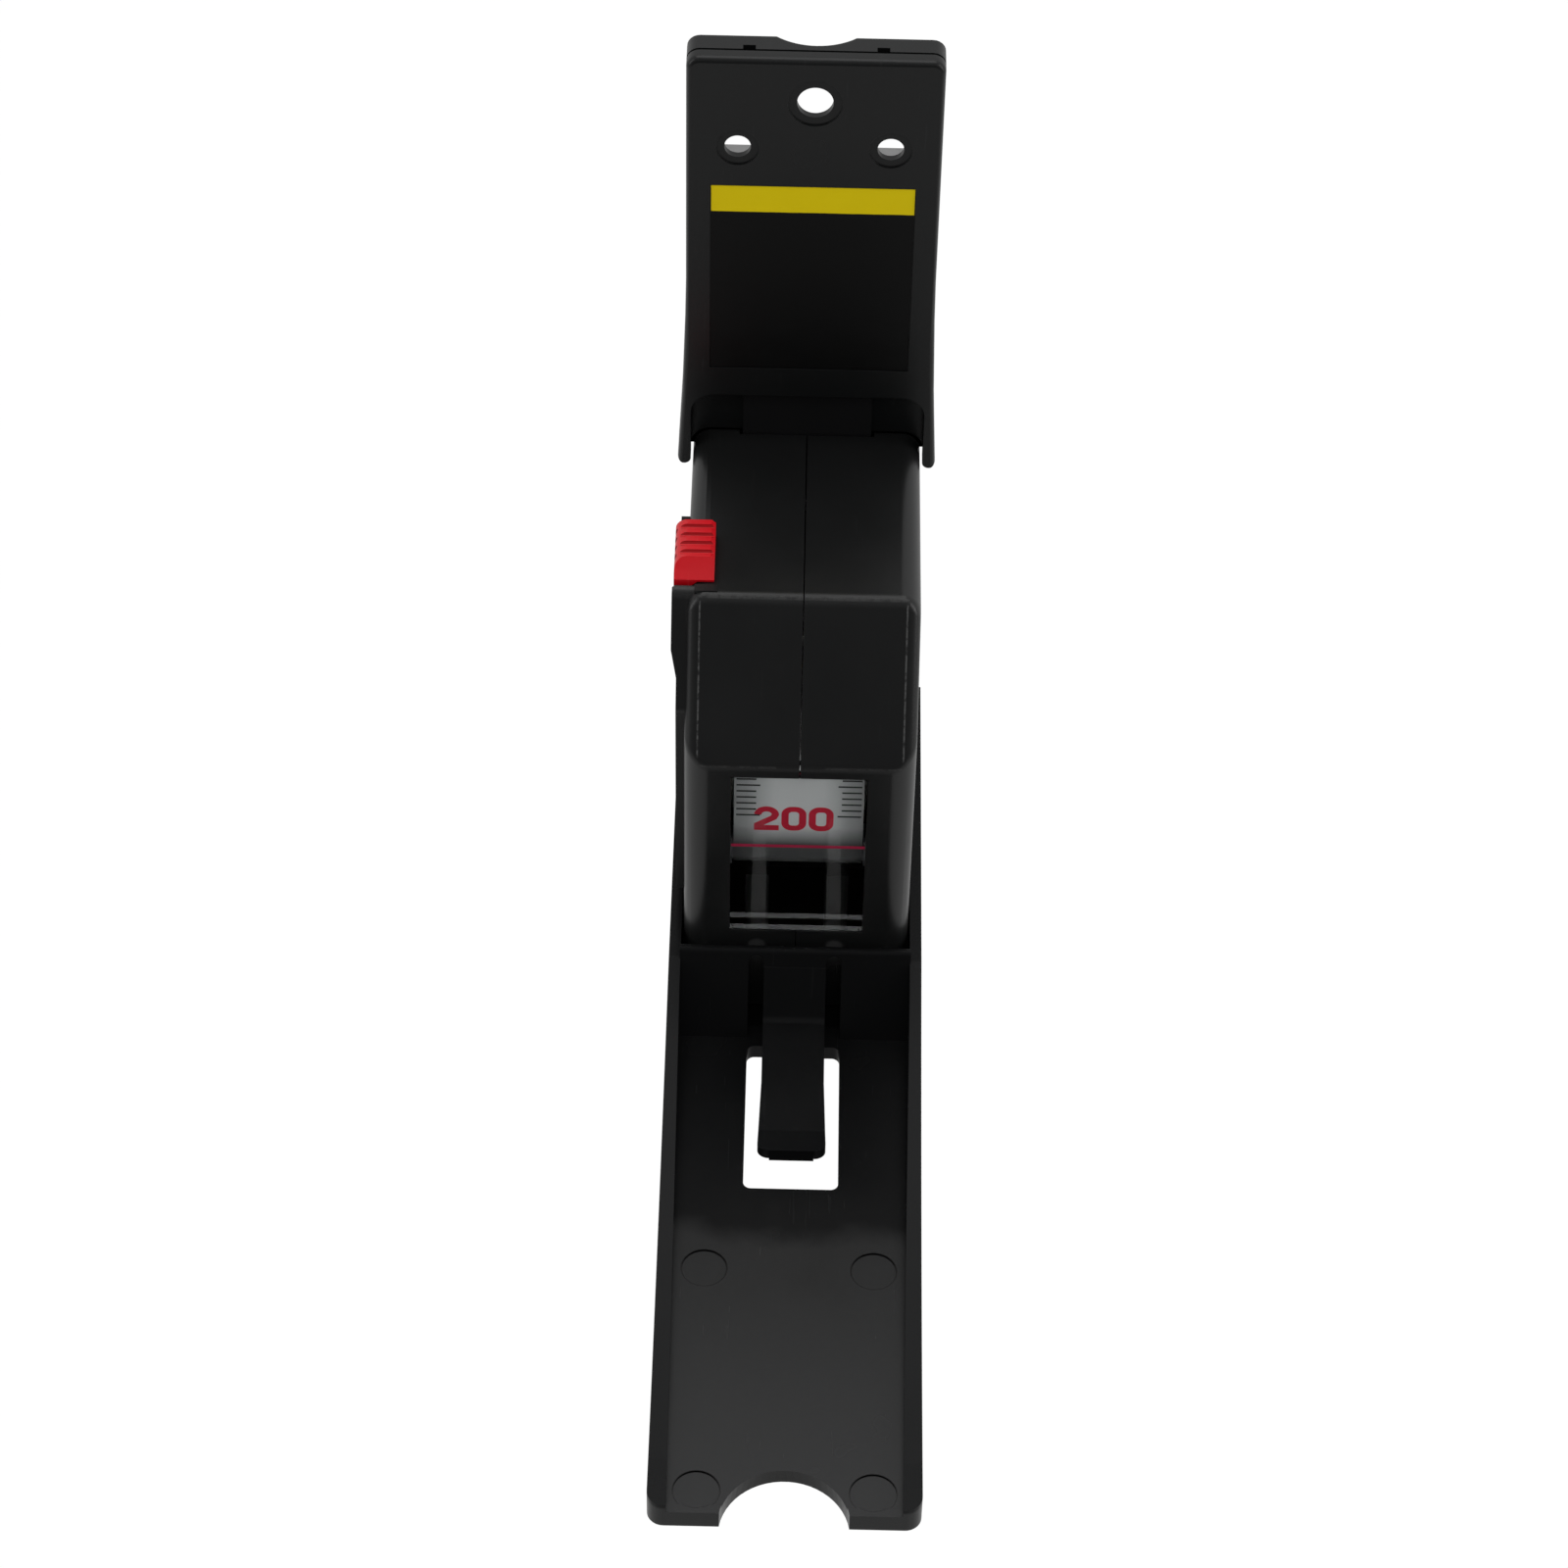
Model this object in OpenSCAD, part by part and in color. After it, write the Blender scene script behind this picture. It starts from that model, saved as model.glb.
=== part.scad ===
// Wall-mounted height measure, docked: a screwed-on wall bracket holds the end
// of a spring-wound 2 m tape, and the tape case with its head arm slides down
// the wall below it. Millimetres, +Z up, +X to the right seen from the front.
// The wall is the plane Y = 0 and the front looks along -Y. In the modules,
// heights are counted from the arm's underside, and depths from the wall.

/* [Tape case] */
// Width of the two shells together
case_w = 29; // [28.5:0.25:30]
// Height of the roof above the arm's underside
case_h = 63.2; // [62.5:0.1:65]
// Depth from the wall to the front face
case_d = 45.2; // [45:0.1:47]
// Depth of the flat roof, from the wall
roof_d = 33.6; // [32.5:0.1:34.5]
// Height of the crease between the sloped and the upright front
front_h = 45; // [44.8:0.1:47]
// Wall thickness of the shells
case_wall = 1.4; // [1.2:0.05:1.6]
// Gap between the case and the wall, and below the case
case_gap = 0.3; // [0.2:0.05:0.5]
// Gap of the seam between the shells
seam_gap = 0.15; // [0.1:0.05:0.3]
// Side rounding of the roof
roof_round = 2.5; // [1.5:0.1:3]
// Side rounding of the sloped front
slope_round = 1.6; // [1:0.1:2.5]
// Side rounding of the upright front
front_round = 3.2; // [3:0.1:5]
// Rounding of the back and bottom edges
back_round = 0.6; // [0.3:0.1:1]
// Rounding of the crease between the roof and the sloped front
crease_round = 2; // [1:0.1:2.5]
// Rounding of the crease between the sloped and the upright front
brow_round = 2.8; // [1:0.1:3.5]

/* [Side boss] */
// How far the panel on the left side stands out
boss_t = 1.1; // [0.8:0.1:1.4]
// How much further its guard in front of the button stands out
guard_t = 0.7; // [0.3:0.1:0.8]
// Height of the guard
guard_h = 8; // [5:0.5:12]
// Distance of the panel from the sloped edge of the side
boss_inset = 1; // [0.6:0.1:2]
// Height of the panel's lower edge
boss_z = 16.6; // [16.4:0.1:20]
// Distance of the panel's rear edge from the wall
boss_back = 16; // [12:0.5:18]
// Distance of the panel's front edge from the case's front
boss_front = 4.6; // [4:0.1:6]

/* [Window] */
// Width of the window
window_w = 17.1; // [15:0.1:17.4]
// Height of the window's lower edge
window_z = 15.4; // [15:0.1:18]
// Height of the window itself
window_h = 27.9; // [24:0.1:28]
// How far the lens lies behind the front face
lens_sink = 0.15; // [0.05:0.05:0.4]
// Thickness of the lens's flange behind the wall
lens_flange_t = 0.9; // [0.6:0.1:1.1]
// How far that flange reaches past the window
lens_flange = 0.9; // [0.6:0.1:1.2]

/* [Tape] */
// Width of the tape
tape_w = 16.4; // [14:0.1:16.4]
// Thickness of the tape
tape_t = 0.2; // [0.1:0.02:0.24]
// Length of the tape
tape_l = 2200; // [1500:50:2300]
// Depth of the printed face behind the window
tape_face = 41.6; // [41.3:0.1:41.8]
// Depth of the tape's rear run to the bracket
tape_rear = 2.85; // [2.8:0.05:2.95]
// Length of tape held by the clamp
tape_held = 9; // [8:0.5:12]

/* [Drum and rollers] */
// Depth of the drum's axis
drum_u = 21.5; // [21:0.1:22.5]
// Distance of the drum's axis below the roof
drum_down = 27.2; // [26.5:0.1:28]
// Radius of the drum's hub
hub_r = 7.5; // [7:0.1:8]
// Thickness of the hub and the drum's flanges
flange_t = 1; // [0.8:0.1:1.2]
// How far the flanges stand over the wound tape
flange_over = 1; // [0.6:0.1:1.2]
// Radius of the drum's axle
axle_r = 2; // [1.5:0.1:2.2]
// Radius of the guide rollers
roller_r = 2.1; // [1.8:0.1:2.2]
// How far a roller's rims stand over its barrel
roller_rim = 0.6; // [0.4:0.1:0.7]
// Radius of the rollers' pins
pin_r = 0.8; // [0.6:0.05:0.9]
// Height of the upper front roller over the crease of the front
top_roller_up = 0.3; // [0:0.1:0.5]
// Height of the lower front roller
low_roller_z = 26.3; // [25.5:0.1:27]
// Height of the rear roller
rear_roller_z = 14.5; // [13:0.5:16]
// Thickness of the mainspring's strip
spring_t = 0.16; // [0.1:0.02:0.2]
// Number of the mainspring's turns
spring_turns = 7; // [4:1:8]

/* [Brake] */
// Depth of the button's rear end
button_u = 22.4; // [22:0.1:22.6]
// Length of the button
button_l = 8.8; // [8.6:0.1:9]
// Length of the button's sloped front
button_nose = 2.1; // [1:0.1:2.6]
// Width of the button's top
button_w = 5; // [4.8:0.1:5.4]
// Height of the button above the roof
button_h = 2.5; // [2:0.1:3.5]
// How far its skirt reaches down the case's side
button_skirt = 2.5; // [2:0.1:2.8]
// Thickness of the skirt
skirt_t = 1.4; // [1.3:0.05:1.6]
// Number of the grip ridges
ridges = 4; // [3:1:6]
// Travel of the button towards the wall
button_travel = 2.4; // [1.5:0.1:2.6]
// Depth of the lever's pivot
lever_u = 27; // [26.5:0.1:27.5]
// Distance of the lever's pivot below the roof
lever_down = 9.6; // [9.2:0.1:9.8]
// Height of the button's cross pin over that pivot
stem_up = 6.6; // [6.4:0.1:6.8]
// Thickness of the lever
lever_t = 1.6; // [1.2:0.1:1.6]
// Length of the brake pad along the rim
pad_l = 1.6; // [1:0.1:1.8]

/* [Head arm] */
// Reach of the arm from the wall
arm_l = 127; // [110:0.5:160]
// Gap between the case and the arm's side walls
arm_gap = 0.3; // [0.2:0.05:0.5]
// Thickness of the arm's floor
floor_t = 2.2; // [1.8:0.1:2.6]
// Thickness of the side walls beside the case
cheek_t = 1.5; // [1.2:0.05:1.5]
// Thickness of the side walls at the tip
tip_wall = 2.3; // [1.8:0.1:2.8]
// Height of the cheeks at the wall
cheek_h = 16; // [14:0.1:16.5]
// Height of the cheeks at the front of the case
wall_h = 12.4; // [11:0.1:13]
// Height of the side walls at the tip
tip_h = 4.1; // [3.4:0.1:6]
// Radius of the tip's corners
tip_round = 2; // [1:0.1:4]
// Distance from the case's front to the foot of the cross wall
crease_d = 6.8; // [6.4:0.1:8]
// Distance from the case's front to the top of the cross wall
band_d = 2.1; // [1.9:0.1:2.4]
// Height of the cross wall's front edge
band_h = 13.2; // [12.6:0.1:13.8]
// Thickness of the cross wall
cross_t = 1.5; // [1.3:0.1:1.6]
// Width of the cut-out in the floor
cut_w = 12; // [11:0.1:14]
// Length of the cut-out from the foot of the cross wall
cut_l = 25.2; // [24:0.1:30]
// Distance of the cut-out from the foot of the cross wall
cut_gap = 1.5; // [0.5:0.1:3]
// Corner radius of the cut-out
cut_r = 1; // [0.5:0.1:2]
// Radius of the finger notch at the tip
notch_r = 7.8; // [6:0.1:9]
// Depth of the finger notch
notch_d = 6.65; // [4:0.05:7]
// Diameter of the ejector marks
mark_d = 5.66; // [4:0.02:6]
// Depth of the ejector marks
mark_t = 0.2; // [0.05:0.01:0.3]
// Height of the rails that carry the case
rail_z = 5; // [4:0.1:7]
// Thickness of the rails
rail_t = 1.6; // [1.2:0.1:2]

/* [Latch tongue] */
// Width of the tongue at its neck
tongue_w = 8; // [6:0.1:8.2]
// Width of the thumb tab at its tip
tab_w = 8.6; // [6:0.1:8.8]
// Thickness of the tongue
tongue_t = 1.5; // [1.3:0.1:1.5]
// Reach of the thumb tab from the foot of the cross wall
tab_l = 22.6; // [18:0.1:23.5]
// Height of the thumb tab's top over the arm's underside
tab_z = 5.2; // [4.8:0.1:6]
// How much the tab's tip turns up
tab_rise = 1.4; // [0:0.1:2]
// Height of the tongue's hinge line
knuckle_z = 11.2; // [10.8:0.1:11.4]
// Overlap of the hook's barb behind the case's front wall
barb_h = 0.4; // [0.2:0.05:0.5]

/* [Wall bracket] */
// Width of the bracket at its top
bracket_w = 30.8; // [30.6:0.1:32]
// Width of the bracket at the tips of its legs
leg_w = 33; // [32.8:0.1:34]
// Height of the bracket's top edge over its arch
bracket_h = 51.7; // [48:0.1:58]
// Height of the arch over the case's roof
arch_up = 7.9; // [7:0.1:10]
// How far the legs of the front plate reach down past the roof
leg_down = 3.7; // [2.5:0.1:4.2]
// How much higher the leg tips of the back plate end
back_leg_up = 1; // [0:0.1:1.5]
// Thickness of the back plate
back_t = 2.6; // [2.3:0.05:2.6]
// Depth from the wall to the front plate's face
plate_front = 4.8; // [4.7:0.05:5.2]
// Thickness of the front plate round the screw holes
plate_skin = 1.2; // [1:0.05:1.5]
// Corner radius of the bracket's top
top_round = 1.6; // [1.2:0.1:3]
// Corner radius of the arch
arch_round = 3; // [2:0.1:4]
// Width of the rounding along the front edges
edge_round = 0.6; // [0.3:0.05:0.7]
// Height over the arch at which the sides begin to flare
flare_up = 24; // [16:1:30]
// Thickness of the skirt between the legs
skirt_web_t = 2.4; // [0.6:0.1:2.5]
// Diameter of the middle screw hole
mid_hole_d = 4.35; // [3.5:0.05:5]
// Distance of the middle screw hole from the top edge
mid_hole_down = 6.2; // [5.8:0.1:8]
// Diameter of the two side screw holes
side_hole_d = 3.2; // [2.5:0.1:4]
// Distance of the side screw holes from the top edge
side_hole_down = 12.9; // [12.5:0.1:14]
// Distance between the side screw holes
side_hole_gap = 18.4; // [16:0.1:20]
// How far the seat round a screw hole reaches past it
seat_w = 1.1; // [0.6:0.05:1.3]
// Depth of the seat round a screw hole
seat_t = 0.25; // [0.1:0.05:0.4]
// Width of the label recess
label_w = 24.9; // [20:0.1:25.5]
// Height of the label recess
label_h = 28.7; // [20:0.1:30]
// Distance of the label recess from the arch
label_up = 4.4; // [3.5:0.1:6]
// Depth of the label recess
label_sink = 0.3; // [0.25:0.05:0.35]
// Thickness of the label
label_t = 0.2; // [0.1:0.05:0.25]
// Width of the opening behind the screw holes
hatch_w = 24; // [22.5:0.5:25]
// Height of the opening behind the screw holes
hatch_h = 12.8; // [12.5:0.1:14]
// Distance from the bracket's top edge to that opening
hatch_down = 3.4; // [3:0.1:3.6]
// Width of the hollow in the top of the back face
scallop_w = 9.5; // [6:0.5:12]
// Depth of that hollow
scallop_t = 1.7; // [1:0.1:1.9]
// Thickness of the tape clamp's bar
clamp_t = 1.05; // [0.9:0.05:1.1]
// Height of the reference point on the back face
datum_z = 90; // [85:0.5:95]

/* [Fasteners] */
// Radius of the case screws
screw_r = 1; // [0.8:0.05:1.2]
// Radius of the screw heads
head_r = 2; // [1.7:0.1:2.2]

/* [Hidden] */

// running gap of a turning piece, gap of a sliding piece, slack of a seated piece
run_gap = 0.05;
slide_gap = 0.2;
fit_gap = 0.03;
// how far a cutting shape runs past a face
past = 1;
$fn = 64;

black = [0.09, 0.09, 0.1];
steel = [0.72, 0.72, 0.74];
ivory = [0.9, 0.89, 0.84];

half_case = case_w / 2;
arm_w = case_w + 2 * (arm_gap + cheek_t);
drum_z = case_h - drum_down;
lever_z = case_h - lever_down;
top_roller_z = front_h + top_roller_up;
arch_z = case_h + arch_up;
bracket_top = arch_z + bracket_h;
leg_z = case_h - leg_down;
inner_side = half_case - case_wall;
slope_a = atan2(case_d - roof_d, case_h - front_h);
slope_c = cos(slope_a) * roof_d + sin(slope_a) * case_h;
// faces of the case's side view: direction it looks in, distance from the origin, side rounding,
// rounding of the crease to the next face
case_faces = [
    [180, -case_gap, back_round, 0.3],
    [90, case_h, roof_round, crease_round],
    [slope_a, slope_c, slope_round, brow_round],
    [0, case_d, front_round, 1],
    [-90, -case_gap, back_round, 0.3]];

// wound tape: the annulus that its length fills over the hub
coil_r = sqrt(hub_r * hub_r + tape_t * tape_l / PI);
flange_r = coil_r + flange_over;
drum_half = tape_w / 2 + 0.2;
drum_c = [drum_u, drum_z];
front_roller_u = tape_face - tape_t - run_gap - roller_r;
top_roller_c = [front_roller_u, top_roller_z];
low_roller_c = [front_roller_u, low_roller_z];
rear_roller_c = [tape_rear + run_gap + roller_r, rear_roller_z];
roller_half = tape_w / 2 + 0.7;
rim_w = 0.5;
boss_face = roller_half + 0.3;
pin_half = boss_face + 1.8;

lens_front = case_d - lens_sink;
lens_inner = case_d - case_wall;
screw_spots = [[8.6, case_h - 6.7], [roof_d, case_h - 7.2], [24, rail_z + rail_t + head_r + 0.7]];
boss_r = screw_r + 1.4;

// brake: the stem's cross pin drives the lever's fork
stem_z = lever_z + stem_up;
stem_x = -half_case + 1.6;
lever_x = -inner_side + slide_gap;
brake_a = atan(button_travel / (stem_z - lever_z));
slot_w = 2 * pin_r + 0.2;
pad_rest = flange_r + drum_z + 1.75;

half_arm = arm_w / 2;
crease_u = case_d + crease_d;
band_u = case_d + band_d;
lean = [crease_u - band_u, floor_t - band_h] / norm([crease_u - band_u, floor_t - band_h]);
// unit vector out of the cross wall's front face
face_n = [-lean[1], lean[0]];
knuckle_c = [band_u, band_h] + lean * (band_h - knuckle_z) / -lean[1] - face_n * cross_t / 2;
hook_z = 7.2;

half_leg_in = half_case + 0.3;
side_hole_z = bracket_top - side_hole_down;
mid_hole_z = bracket_top - mid_hole_down;
plate_back = tape_rear + run_gap;
clamp_z = arch_z + 6;
clamp_x = tape_w / 2 + 2;
// depth over which the front edges are rounded
front_edge = 0.9;
label_z = arch_z + label_up;
hatch_top = bracket_top - hatch_down;
// pegs that join the two plates, beside the label
peg_r = 0.8;
peg_x = label_w / 2 + 1.5;
peg_z = [arch_z + 9, hatch_top - hatch_h - 2];
notch_x = 7.95;

function dir(a) = [cos(a), sin(a)];
function arc(c, r, a0, a1, n) = [for (k = [0:n]) c + r * dir(a0 + (a1 - a0) * k / n)];
// where the lines dir(a1) * p = c1 and dir(a2) * p = c2 cross
function crossing(a1, c1, a2, c2) =
    [c1 * sin(a2) - c2 * sin(a1), cos(a1) * c2 - cos(a2) * c1] / sin(a2 - a1);
// inward set-back of a rounded edge at distance d from the side
function set_back(r, d) = d < r ? r - sqrt(r * r - pow(r - d, 2)) : 0;
function next_angle(i) = i == len(case_faces) - 1 ? case_faces[0][0] - 360 : case_faces[i + 1][0];

// side view of the case, each face set back by a wall and by its rounding at distance d from the side
function case_ring(wall, d, n) = [
    for (i = [0:len(case_faces) - 1])
        let (j = (i + 1) % len(case_faces),
            a = case_faces[i], b = case_faces[j],
            r = max(0.2, a[3] - wall),
            c = crossing(a[0], a[1] - wall - set_back(a[2], d) - r,
                next_angle(i), b[1] - wall - set_back(b[2], d) - r))
        each arc(c, r, a[0], next_angle(i), n)];

// half width of the bracket at a height, flaring towards the leg tips
function bracket_half(z) =
    bracket_w / 2 + (leg_w - bracket_w) / 2 * pow(max(0, (arch_z + flare_up - z) / (arch_z + flare_up - leg_z)), 2);

// right half of the bracket's front view, set in by s, from the top centre clockwise to the arch
function bracket_side(s, tip_z) =
    let (tip_out = bracket_half(tip_z),
        tip_r = (tip_out - half_leg_in) / 2,
        flare_z = arch_z + flare_up)
    concat(
        arc([bracket_w / 2 - top_round, bracket_top - top_round], top_round - s, 90, 0, 6),
        [for (k = [0:6]) let (z = flare_z + (tip_z + tip_r - flare_z) * k / 6) [bracket_half(z) - s, z]],
        arc([half_leg_in + tip_r, tip_z + tip_r], tip_r - s, -15, -180, 6),
        arc([half_leg_in - arch_round, arch_z - arch_round], arch_round + s, 0, 90, 6));

function mirrored(points) = [for (i = [len(points) - 1:-1:0]) [-points[i][0], points[i][1]]];
function bracket_outline(s, tip_z) = concat(bracket_side(s, tip_z), mirrored(bracket_side(s, tip_z)));

// front plate's outline before the arch is cut, set in by s, clockwise from the bottom centre
function plate_outline(s) =
    let (flare_z = arch_z + flare_up,
        right = concat(
            arc([bracket_w / 2 - top_round, bracket_top - top_round], top_round - s, 90, 0, 6),
            [for (k = [0:6]) let (z = flare_z + (leg_z - flare_z) * k / 6) [bracket_half(z) - s, z]]))
    concat([[0, leg_z]], mirrored(right), right);
// arch between the legs
function arch_side() = concat(
    [[half_leg_in, leg_z - past]],
    arc([half_leg_in - arch_round, arch_z - arch_round], arch_round, 0, 90, 6));

// height of the arm's side walls at depth u
function wall_top(u) =
    u < band_u ? cheek_h + (wall_h - cheek_h) * (u - case_gap) / (band_u - case_gap)
    : tip_h + (wall_h - tip_h) * pow((arm_l - u) / (arm_l - band_u), 2.1);

// direction out of the tape where it leaves one guide for the next, going clockwise in the side view
function leave_a(c0, r0, c1, r1) =
    let (d = c1 - c0) atan2(d[1], d[0]) + acos((r0 - r1) / norm(d));
function tape_arc(c, r, a0, a1, out) = arc(c, r + run_gap + out, a0, a1 > a0 ? a1 - 360 : a1, 8);

// solid between closed outlines that have equally many points
module loft(rings) {
    n = len(rings[0]);
    last = len(rings) - 1;
    polyhedron(
        points = [for (ring = rings) each ring],
        faces = concat(
            [concat([0], [for (i = [n - 1:-1:1]) i])],
            [for (k = [0:last - 1]) for (i = [0:n - 1])
                let (j = (i + 1) % n)
                each [[k * n + i, k * n + j, (k + 1) * n + j], [k * n + i, (k + 1) * n + j, (k + 1) * n + i]]],
            [[for (i = [0:n - 1]) last * n + i]]),
        convexity = 8);
}

// extrudes a side view, drawn with depth across and height up, from x0 to x1
module from_side(x0, x1) {
    rotate([90, 0, -90]) translate([0, 0, -x1]) linear_extrude(x1 - x0, convexity = 6) children();
}

// extrudes a front view, drawn with X across and height up, from depth u0 to u1
module from_front(u0, u1) {
    rotate([90, 0, 0]) translate([0, 0, u0]) linear_extrude(u1 - u0, convexity = 6) children();
}

// a round bar along X
module x_bar(c, r, x0, x1) {
    translate([x0, -c[0], c[1]]) rotate([0, 90, 0]) cylinder(r = r, h = x1 - x0);
}

// a round bar along the depth, at x and height z
module u_bar(x, z, r, u0, u1, r_end = 0) {
    translate([x, -u0, z]) rotate([90, 0, 0]) cylinder(r1 = r, r2 = r_end > 0 ? r_end : r, h = u1 - u0);
}

module box_between(x0, x1, u0, u1, z0, z1) {
    translate([x0, -u1, z0]) cube([x1 - x0, u1 - u0, z1 - z0]);
}

module rounded_rect(x0, x1, y0, y1, r) {
    translate([x0 + r, y0]) square([x1 - x0 - 2 * r, y1 - y0]);
    translate([x0, y0 + r]) square([x1 - x0, y1 - y0 - 2 * r]);
    for (x = [x0 + r, x1 - r])
        for (y = [y0 + r, y1 - r])
            translate([x, y]) circle(r);
}

module on_wall() {
    translate([0, 0, -datum_z]) children();
}

// Wall bracket

module bracket_back_plate() {
    scallop_r = (pow(scallop_w / 2, 2) + pow(scallop_t, 2)) / (2 * scallop_t);
    color(black) {
        difference() {
            union() {
                from_front(0, back_t) polygon(bracket_outline(0, leg_z + back_leg_up));
                // thin skirt that closes the arch behind the tape
                from_front(0, skirt_web_t)
                    difference() {
                        translate([-half_leg_in - 0.1, case_h - roof_round + 0.3])
                            square([case_w + 0.8, arch_z - case_h + roof_round + 0.8]);
                        rounded_rect(-half_leg_in - 0.05, half_leg_in + 0.05, case_h - 3 * roof_round,
                            case_h + case_gap, roof_round + 0.2);
                    }
                for (x = [-peg_x, peg_x])
                    for (z = peg_z)
                        u_bar(x, z, peg_r, back_t - 0.1, plate_front - 0.8);
            }
            box_between(-hatch_w / 2, hatch_w / 2, -past, back_t + past, hatch_top - hatch_h, hatch_top);
            translate([0, scallop_r - scallop_t, hatch_top - past]) cylinder(r = scallop_r, h = hatch_down + 2 * past);
            for (x = [-notch_x, notch_x])
                box_between(x - 0.75, x + 0.75, back_t - 0.8, back_t + past, bracket_top - 0.9, bracket_top + past);
            for (x = [-clamp_x, clamp_x])
                u_bar(x, clamp_z + 3, 0.7, 0.6, back_t + past);
        }
    }
}

module bracket_front_plate() {
    steps = 4;
    tip_r = (leg_w / 2 - half_leg_in) / 2;
    bar_half = tape_w / 2 + 4.3;
    color(black)
        difference() {
            union() {
                loft(concat(
                    [[for (p = plate_outline(0)) [p[0], -plate_back, p[1]]]],
                    [for (k = [0:steps])
                        let (a = 90 * k / steps)
                        [for (p = plate_outline(edge_round * (1 - cos(a))))
                            [p[0], -plate_front + front_edge * (1 - sin(a)), p[1]]]]));
                // pads that rest on the back plate beside the tape
                for (x = [-tape_w / 2 - 3.5, tape_w / 2 + 3.5])
                    box_between(x - 1.5, x + 1.5, back_t + fit_gap, plate_back + 0.5, arch_z + 15, arch_z + 31);
            }
            // arch, and the rounded tips of the legs
            from_front(plate_back - past, plate_front + past) polygon(concat(arch_side(), mirrored(arch_side())));
            for (side = [0, 1])
                mirror([side, 0, 0])
                    from_front(plate_back - past, plate_front + past)
                        difference() {
                            translate([half_leg_in - past, leg_z - past]) square([2 * tip_r + 2 * past, tip_r + past]);
                            translate([half_leg_in + tip_r, leg_z + tip_r]) circle(tip_r);
                        }
            // room behind the screw holes
            box_between(-hatch_w / 2, hatch_w / 2, plate_back - past, plate_front - plate_skin,
                hatch_top - hatch_h, hatch_top);
            // pocket of the clamp's bar
            box_between(-bar_half, bar_half, plate_back - past, plate_back + clamp_t + 0.05,
                clamp_z - 0.3, clamp_z + 6.3);
            for (x = [-peg_x, peg_x])
                for (z = peg_z)
                    u_bar(x, z, peg_r + fit_gap, plate_back - past, plate_front - 0.7);
            u_bar(0, mid_hole_z, mid_hole_d / 2, plate_back - past, plate_front + past);
            u_bar(0, mid_hole_z, mid_hole_d / 2 + seat_w, plate_front - seat_t, plate_front + past);
            for (x = [-side_hole_gap / 2, side_hole_gap / 2]) {
                u_bar(x, side_hole_z, side_hole_d / 2, plate_back - past, plate_front + past);
                u_bar(x, side_hole_z, side_hole_d / 2 + seat_w * 0.9, plate_front - seat_t, plate_front + past);
            }
            box_between(-label_w / 2, label_w / 2, plate_front - label_sink, plate_front + past,
                label_z, label_z + label_h);
        }
}

module label_plate() {
    color([0.06, 0.06, 0.06])
        box_between(-label_w / 2 + 0.1, label_w / 2 - 0.1,
            plate_front - label_sink, plate_front - label_sink + label_t,
            label_z + 0.1, label_z + label_h - 0.1);
}

module tape_clamp_bar() {
    bar_half = tape_w / 2 + 4;
    color(steel)
        difference() {
            from_front(tape_rear, tape_rear + clamp_t)
                rounded_rect(-bar_half, bar_half, clamp_z, clamp_z + 6, 1.5);
            for (x = [-clamp_x, clamp_x]) {
                u_bar(x, clamp_z + 3, 0.7, tape_rear - past, plate_front);
                u_bar(x, clamp_z + 3, 0.7, tape_rear + clamp_t - 0.6, tape_rear + clamp_t, 1.3);
            }
        }
}

module clamp_screws() {
    head = tape_rear + clamp_t;
    color(steel)
        for (x = [-clamp_x, clamp_x])
            union() {
                u_bar(x, clamp_z + 3, 0.7 - fit_gap, 0.7, head - 0.5);
                u_bar(x, clamp_z + 3, 0.7 - fit_gap, head - 0.6, head - 0.02, 1.3 - fit_gap);
            }
}

module clamped_tape() {
    color(ivory)
        box_between(-tape_w / 2, tape_w / 2, tape_rear - tape_t, tape_rear, arch_z, clamp_z + tape_held);
}

// Blank tape from the case's roof to the bracket, which grows longer as the case comes down

module free_tape() {
    color(ivory)
        box_between(-tape_w / 2, tape_w / 2, tape_rear - tape_t, tape_rear, case_h + 0.05, arch_z);
}

// Case shells

// right-hand half of the case's outer form
module half_body() {
    steps = 8;
    loft([for (k = [0:steps + 1])
        let (d = k > steps ? half_case - seam_gap / 2 : front_round * (1 - cos(90 * k / steps)))
        [for (p = case_ring(0, d, 4)) [half_case - d, -p[0], p[1]]]]);
}

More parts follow.
